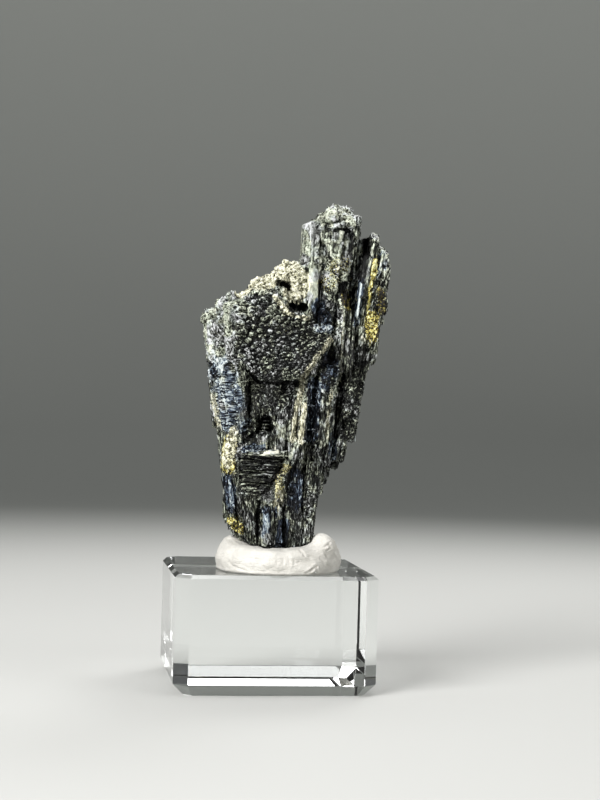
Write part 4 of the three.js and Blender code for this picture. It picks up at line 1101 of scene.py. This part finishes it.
# ---------------------------------------------------------------- stibnite: the stepped ledge
# Under the recess the crystals are broken across, and the break shows as a pile of thin sheets of
# the same metal. Each is rooted in the body and has a ragged edge, painted paler on its upper left as
# painted light, with painted shade on the body in the gaps between the sheets.
LEDGE_LEFT, LEDGE_RIGHT, LEDGE_TOP, LEDGE_FOOT, LEDGE_NARROWS = -7.7, -0.6, 15.4, 9.2, 3.2
SHEETS, SHEET_KINDS, SHEET_SIDES = 9, 4, 18
PIT_STEPS = (  # middle (right, back, up) and width of the short steps in the pit
    (-3.7, -3.0, 20.7, 1.3), (-3.9, -2.8, 19.6, 1.1), (-3.6, -2.4, 20.1, 1.6), (-4.0, -2.2, 19.0, 1.9),
    (-3.8, -1.6, 21.3, 1.9), (-3.7, -3.5, 18.5, 1.6),
)


def sheet_shape(seed):
    """A thin flake one unit wide, deep and thick, with a ragged rim."""
    pick = np.random.default_rng(seed)
    shape = bmesh.new()
    bmesh.ops.create_cone(shape, cap_ends=True, segments=SHEET_SIDES, radius1=0.5, radius2=0.46, depth=1)
    shares = pick.uniform(0.82, 1.0, SHEET_SIDES)
    for vert in shape.verts:
        side = side_of(vert, SHEET_SIDES)
        angle = math.tau * side / SHEET_SIDES
        square = 1 / max(abs(math.cos(angle)), abs(math.sin(angle)))
        vert.co.x *= shares[side] * min(square, 1.3)
        vert.co.y *= shares[side] * min(square, 1.3)
        vert.co.z += pick.uniform(-0.1, 0.1)
    return shape_arrays(shape)


sheet_shapes = [sheet_shape(90 + k) for k in range(SHEET_KINDS)]
sheet_rows = []
for level in range(SHEETS):
    z = LEDGE_TOP - (LEDGE_TOP - LEDGE_FOOT) * level / (SHEETS - 1)
    right = LEDGE_RIGHT - LEDGE_NARROWS * ((LEDGE_TOP - z) / (LEDGE_TOP - LEDGE_FOOT))
    for part in range(3):
        wide = random_numbers.uniform(1.9, 3.3)
        moved = part + random_numbers.uniform(-0.3, 0.3)
        x = LEDGE_LEFT + wide / 2 + (right - LEDGE_LEFT - wide) * moved / 2
        place = surface_from_front(x, z - random_numbers.uniform(0, 0.3))
        thick = random_numbers.uniform(0.16, 0.34)
        axes = (Matrix.Rotation(random_numbers.uniform(-0.12, 0.12), 3, "Y")
                @ Matrix.Rotation(random_numbers.uniform(-0.2, 0.2), 3, "X"))
        sheet_rows.append((random_numbers.integers(SHEET_KINDS), place + (0, 0.45, 0),
                           np.array(axes.transposed()) * np.array([wide, 1.6, thick])[:, None],
                           random_numbers.random(), (0, -1, 0)))
for *middle, wide in PIT_STEPS:
    sheet_rows.append((random_numbers.integers(SHEET_KINDS), np.array(middle), np.diag((wide, 1.6, 0.2)),
                       random_numbers.random() + 0.3, (0, -1, 0)))
# painted light: each sheet and pit step is painted paler on its upper left, as lit from there
fix_stibnite("stibnite_ledge_sheets", sheet_shapes, sheet_rows, lighter=0.7, rim=1.6, plain=0.8, polish=0.2)

# ---------------------------------------------------------------- stibnite: the larger laths
# Single crystals that stand out of the mass: flat four-sided laths with small chamfers and a
# slanting broken end. Each is rooted in the body, and shares its metal.
LATHS = (  # lower end and upper end (right, up), width, depth, how far out, how much paler; mm
    (3.3, 39.5, 3.15, 44.8, 1.3, 1.1, 0.5, 1.4), (2.85, 44.9, 2.7, 51.6, 0.4, 0.5, 0.15, 1.0),
    (3.5, 45.6, 3.5, 51.4, 0.8, 0.6, 0.1, 0.6), (1.4, 46.2, 1.7, 51.2, 0.7, 0.6, 0.1, 0.7),
    (9.6, 43.8, 9.7, 49.8, 0.35, 0.4, 0.12, 1.0), (8.6, 43.5, 8.9, 49.5, 0.4, 0.4, 0.1, 0.0),
    (11.0, 40.5, 11.5, 47.5, 1.1, 0.5, 0.05, 0.3), (13.4, 43.6, 14.0, 47.7, 0.35, 0.4, 0.15, 1.4),
    (15.0, 43.6, 14.9, 47.4, 0.5, 0.5, 0.1, 0.9), (7.9, 38.6, 7.3, 41.3, 0.8, 0.5, 0.2, 1.0),
    # the lath of the channel's streak, second on the next line, is painted paler as a glint
    (8.1, 28.5, 8.1, 38.4, 0.28, 0.4, 0.2, 1.2), (10.2, 37.4, 10.75, 42.8, 0.34, 2.0, 1.9, 2.4),
    (8.5, 29.0, 8.7, 39.6, 0.5, 3.2, 3.0, 0.5), (9.0, 28.5, 9.2, 38.6, 0.4, 2.8, 2.6, 0.9),
    (9.5, 29.5, 9.7, 37.4, 0.4, 2.4, 2.1, 0.2), (8.8, 28.0, 8.9, 35.6, 0.35, 3.0, 2.95, 1.3),
    (9.3, 27.5, 9.4, 33.6, 0.35, 2.6, 2.6, -0.2), (-6.2, 17.4, -3.3, 17.5, 1.3, 0.5, 0.2, 0.3),
    # the bar along the ledge, first on the next line, is painted paler as a glint
    (-3.9, 15.65, -1.6, 15.82, 0.52, 0.6, 0.35, 4.5), (2.5, 23.4, 3.7, 23.3, 0.2, 0.4, 0.15, 2.0),
    (2.9, 19.5, 3.8, 19.6, 0.2, 0.4, 0.15, 2.0), (0.5, 17.8, 1.3, 25.4, 0.42, 0.6, 0.12, 0.4),
    (1.7, 17.8, 2.2, 22.6, 0.5, 0.6, 0.18, 0.6), (5.0, 18.0, 5.1, 27.0, 0.45, 0.4, 0.1, 0.4),
    (5.9, 17.4, 6.4, 26.4, 0.5, 0.4, 0.2, 0.8), (7.4, 18.5, 7.9, 27.0, 0.45, 0.4, 0.1, 0.5),
    (-3.4, 1.2, -3.2, 7.0, 0.8, 0.6, 0.1, 0.4), (-2.5, 1.0, -2.3, 6.5, 0.6, 0.5, 0.15, 0.2),
    (-5.6, 2.5, -6.6, 8.1, 0.6, 0.5, 0.1, 0.4), (-5.0, 1.8, -5.7, 8.2, 0.4, 0.5, 0.12, 0.1),
    (-6.4, 3.2, -7.4, 7.9, 0.5, 0.5, 0.12, 0.5), (0.2, 1.0, 0.4, 5.0, 0.6, 0.5, 0.1, 0.3),
    (1.8, 1.2, 2.0, 6.0, 0.7, 0.5, 0.1, 0.3), (3.0, 1.4, 3.3, 6.0, 0.5, 0.5, 0.1, 0.6),
    (0.6, 16.9, 1.6, 17.6, 0.45, 0.5, 0.2, 1.8), (-0.6, 13.2, 0.5, 15.6, 0.45, 0.5, 0.2, 1.4),
    (-9.0, 21.0, -9.7, 29.6, 1.5, 0.6, 0.05, 0.5), (-10.3, 20.6, -11.6, 27.4, 0.9, 0.6, 0.08, 0.5),
    (-7.6, 20.6, -8.2, 26.6, 0.8, 0.6, 0.08, 0.7),
)
LATH_PARTS, LATH_KINDS, LATH_CHAMFER = 10, 4, 0.12


def upright_edges(shape):
    return [e for e in shape.edges if abs(e.verts[0].co.z - e.verts[1].co.z) > 0.5]


def lath_shape(seed):
    """A flat four-sided crystal, one unit long, wide and deep."""
    pick = np.random.default_rng(seed)
    shape = bmesh.new()
    bmesh.ops.create_cube(shape, size=1)
    bmesh.ops.bevel(shape, geom=upright_edges(shape), offset=LATH_CHAMFER, offset_type="OFFSET",
                    segments=1, profile=0.5, affect="EDGES", material=-1)
    bmesh.ops.subdivide_edges(shape, edges=upright_edges(shape), cuts=LATH_PARTS - 1, use_grid_fill=True)
    slant = pick.uniform(-0.05, 0.05, 4)
    for vert in shape.verts:
        vert.co.x *= 1 - 0.12 * abs(vert.co.z) * 2
        if abs(vert.co.z) > 0.49:
            slant_end(vert, slant)
        else:
            vert.co.x += pick.uniform(-0.03, 0.03)
    return shape_arrays(shape)


lath_shapes = [lath_shape(110 + k) for k in range(LATH_KINDS)]
lath_rows = []
for low_right, low_up, high_right, high_up, wide, deep, out, paler in LATHS:
    low_place, high_place = surface_from_front(low_right, low_up), surface_from_front(high_right, high_up)
    middle_place = surface_from_front((low_right + high_right) / 2, (low_up + high_up) / 2)
    way = high_place - low_place
    length = np.linalg.norm(way)
    way /= length
    outward = unit(np.array([0.0, -1.0, 0.0]) - way * -way[1])
    front = min(place[1] for place in (low_place, high_place, middle_place))
    middle = (low_place + high_place) / 2
    middle[1] = min(middle[1], front + 0.5) - out + deep / 2
    axes = long_axes(way, outward, wide, deep, length)
    lath_rows.append((random_numbers.integers(LATH_KINDS), middle, axes, paler, (0, -1, 0)))
fix_stibnite("stibnite_laths", lath_shapes, lath_rows, polish=0.2, plain=0.3)
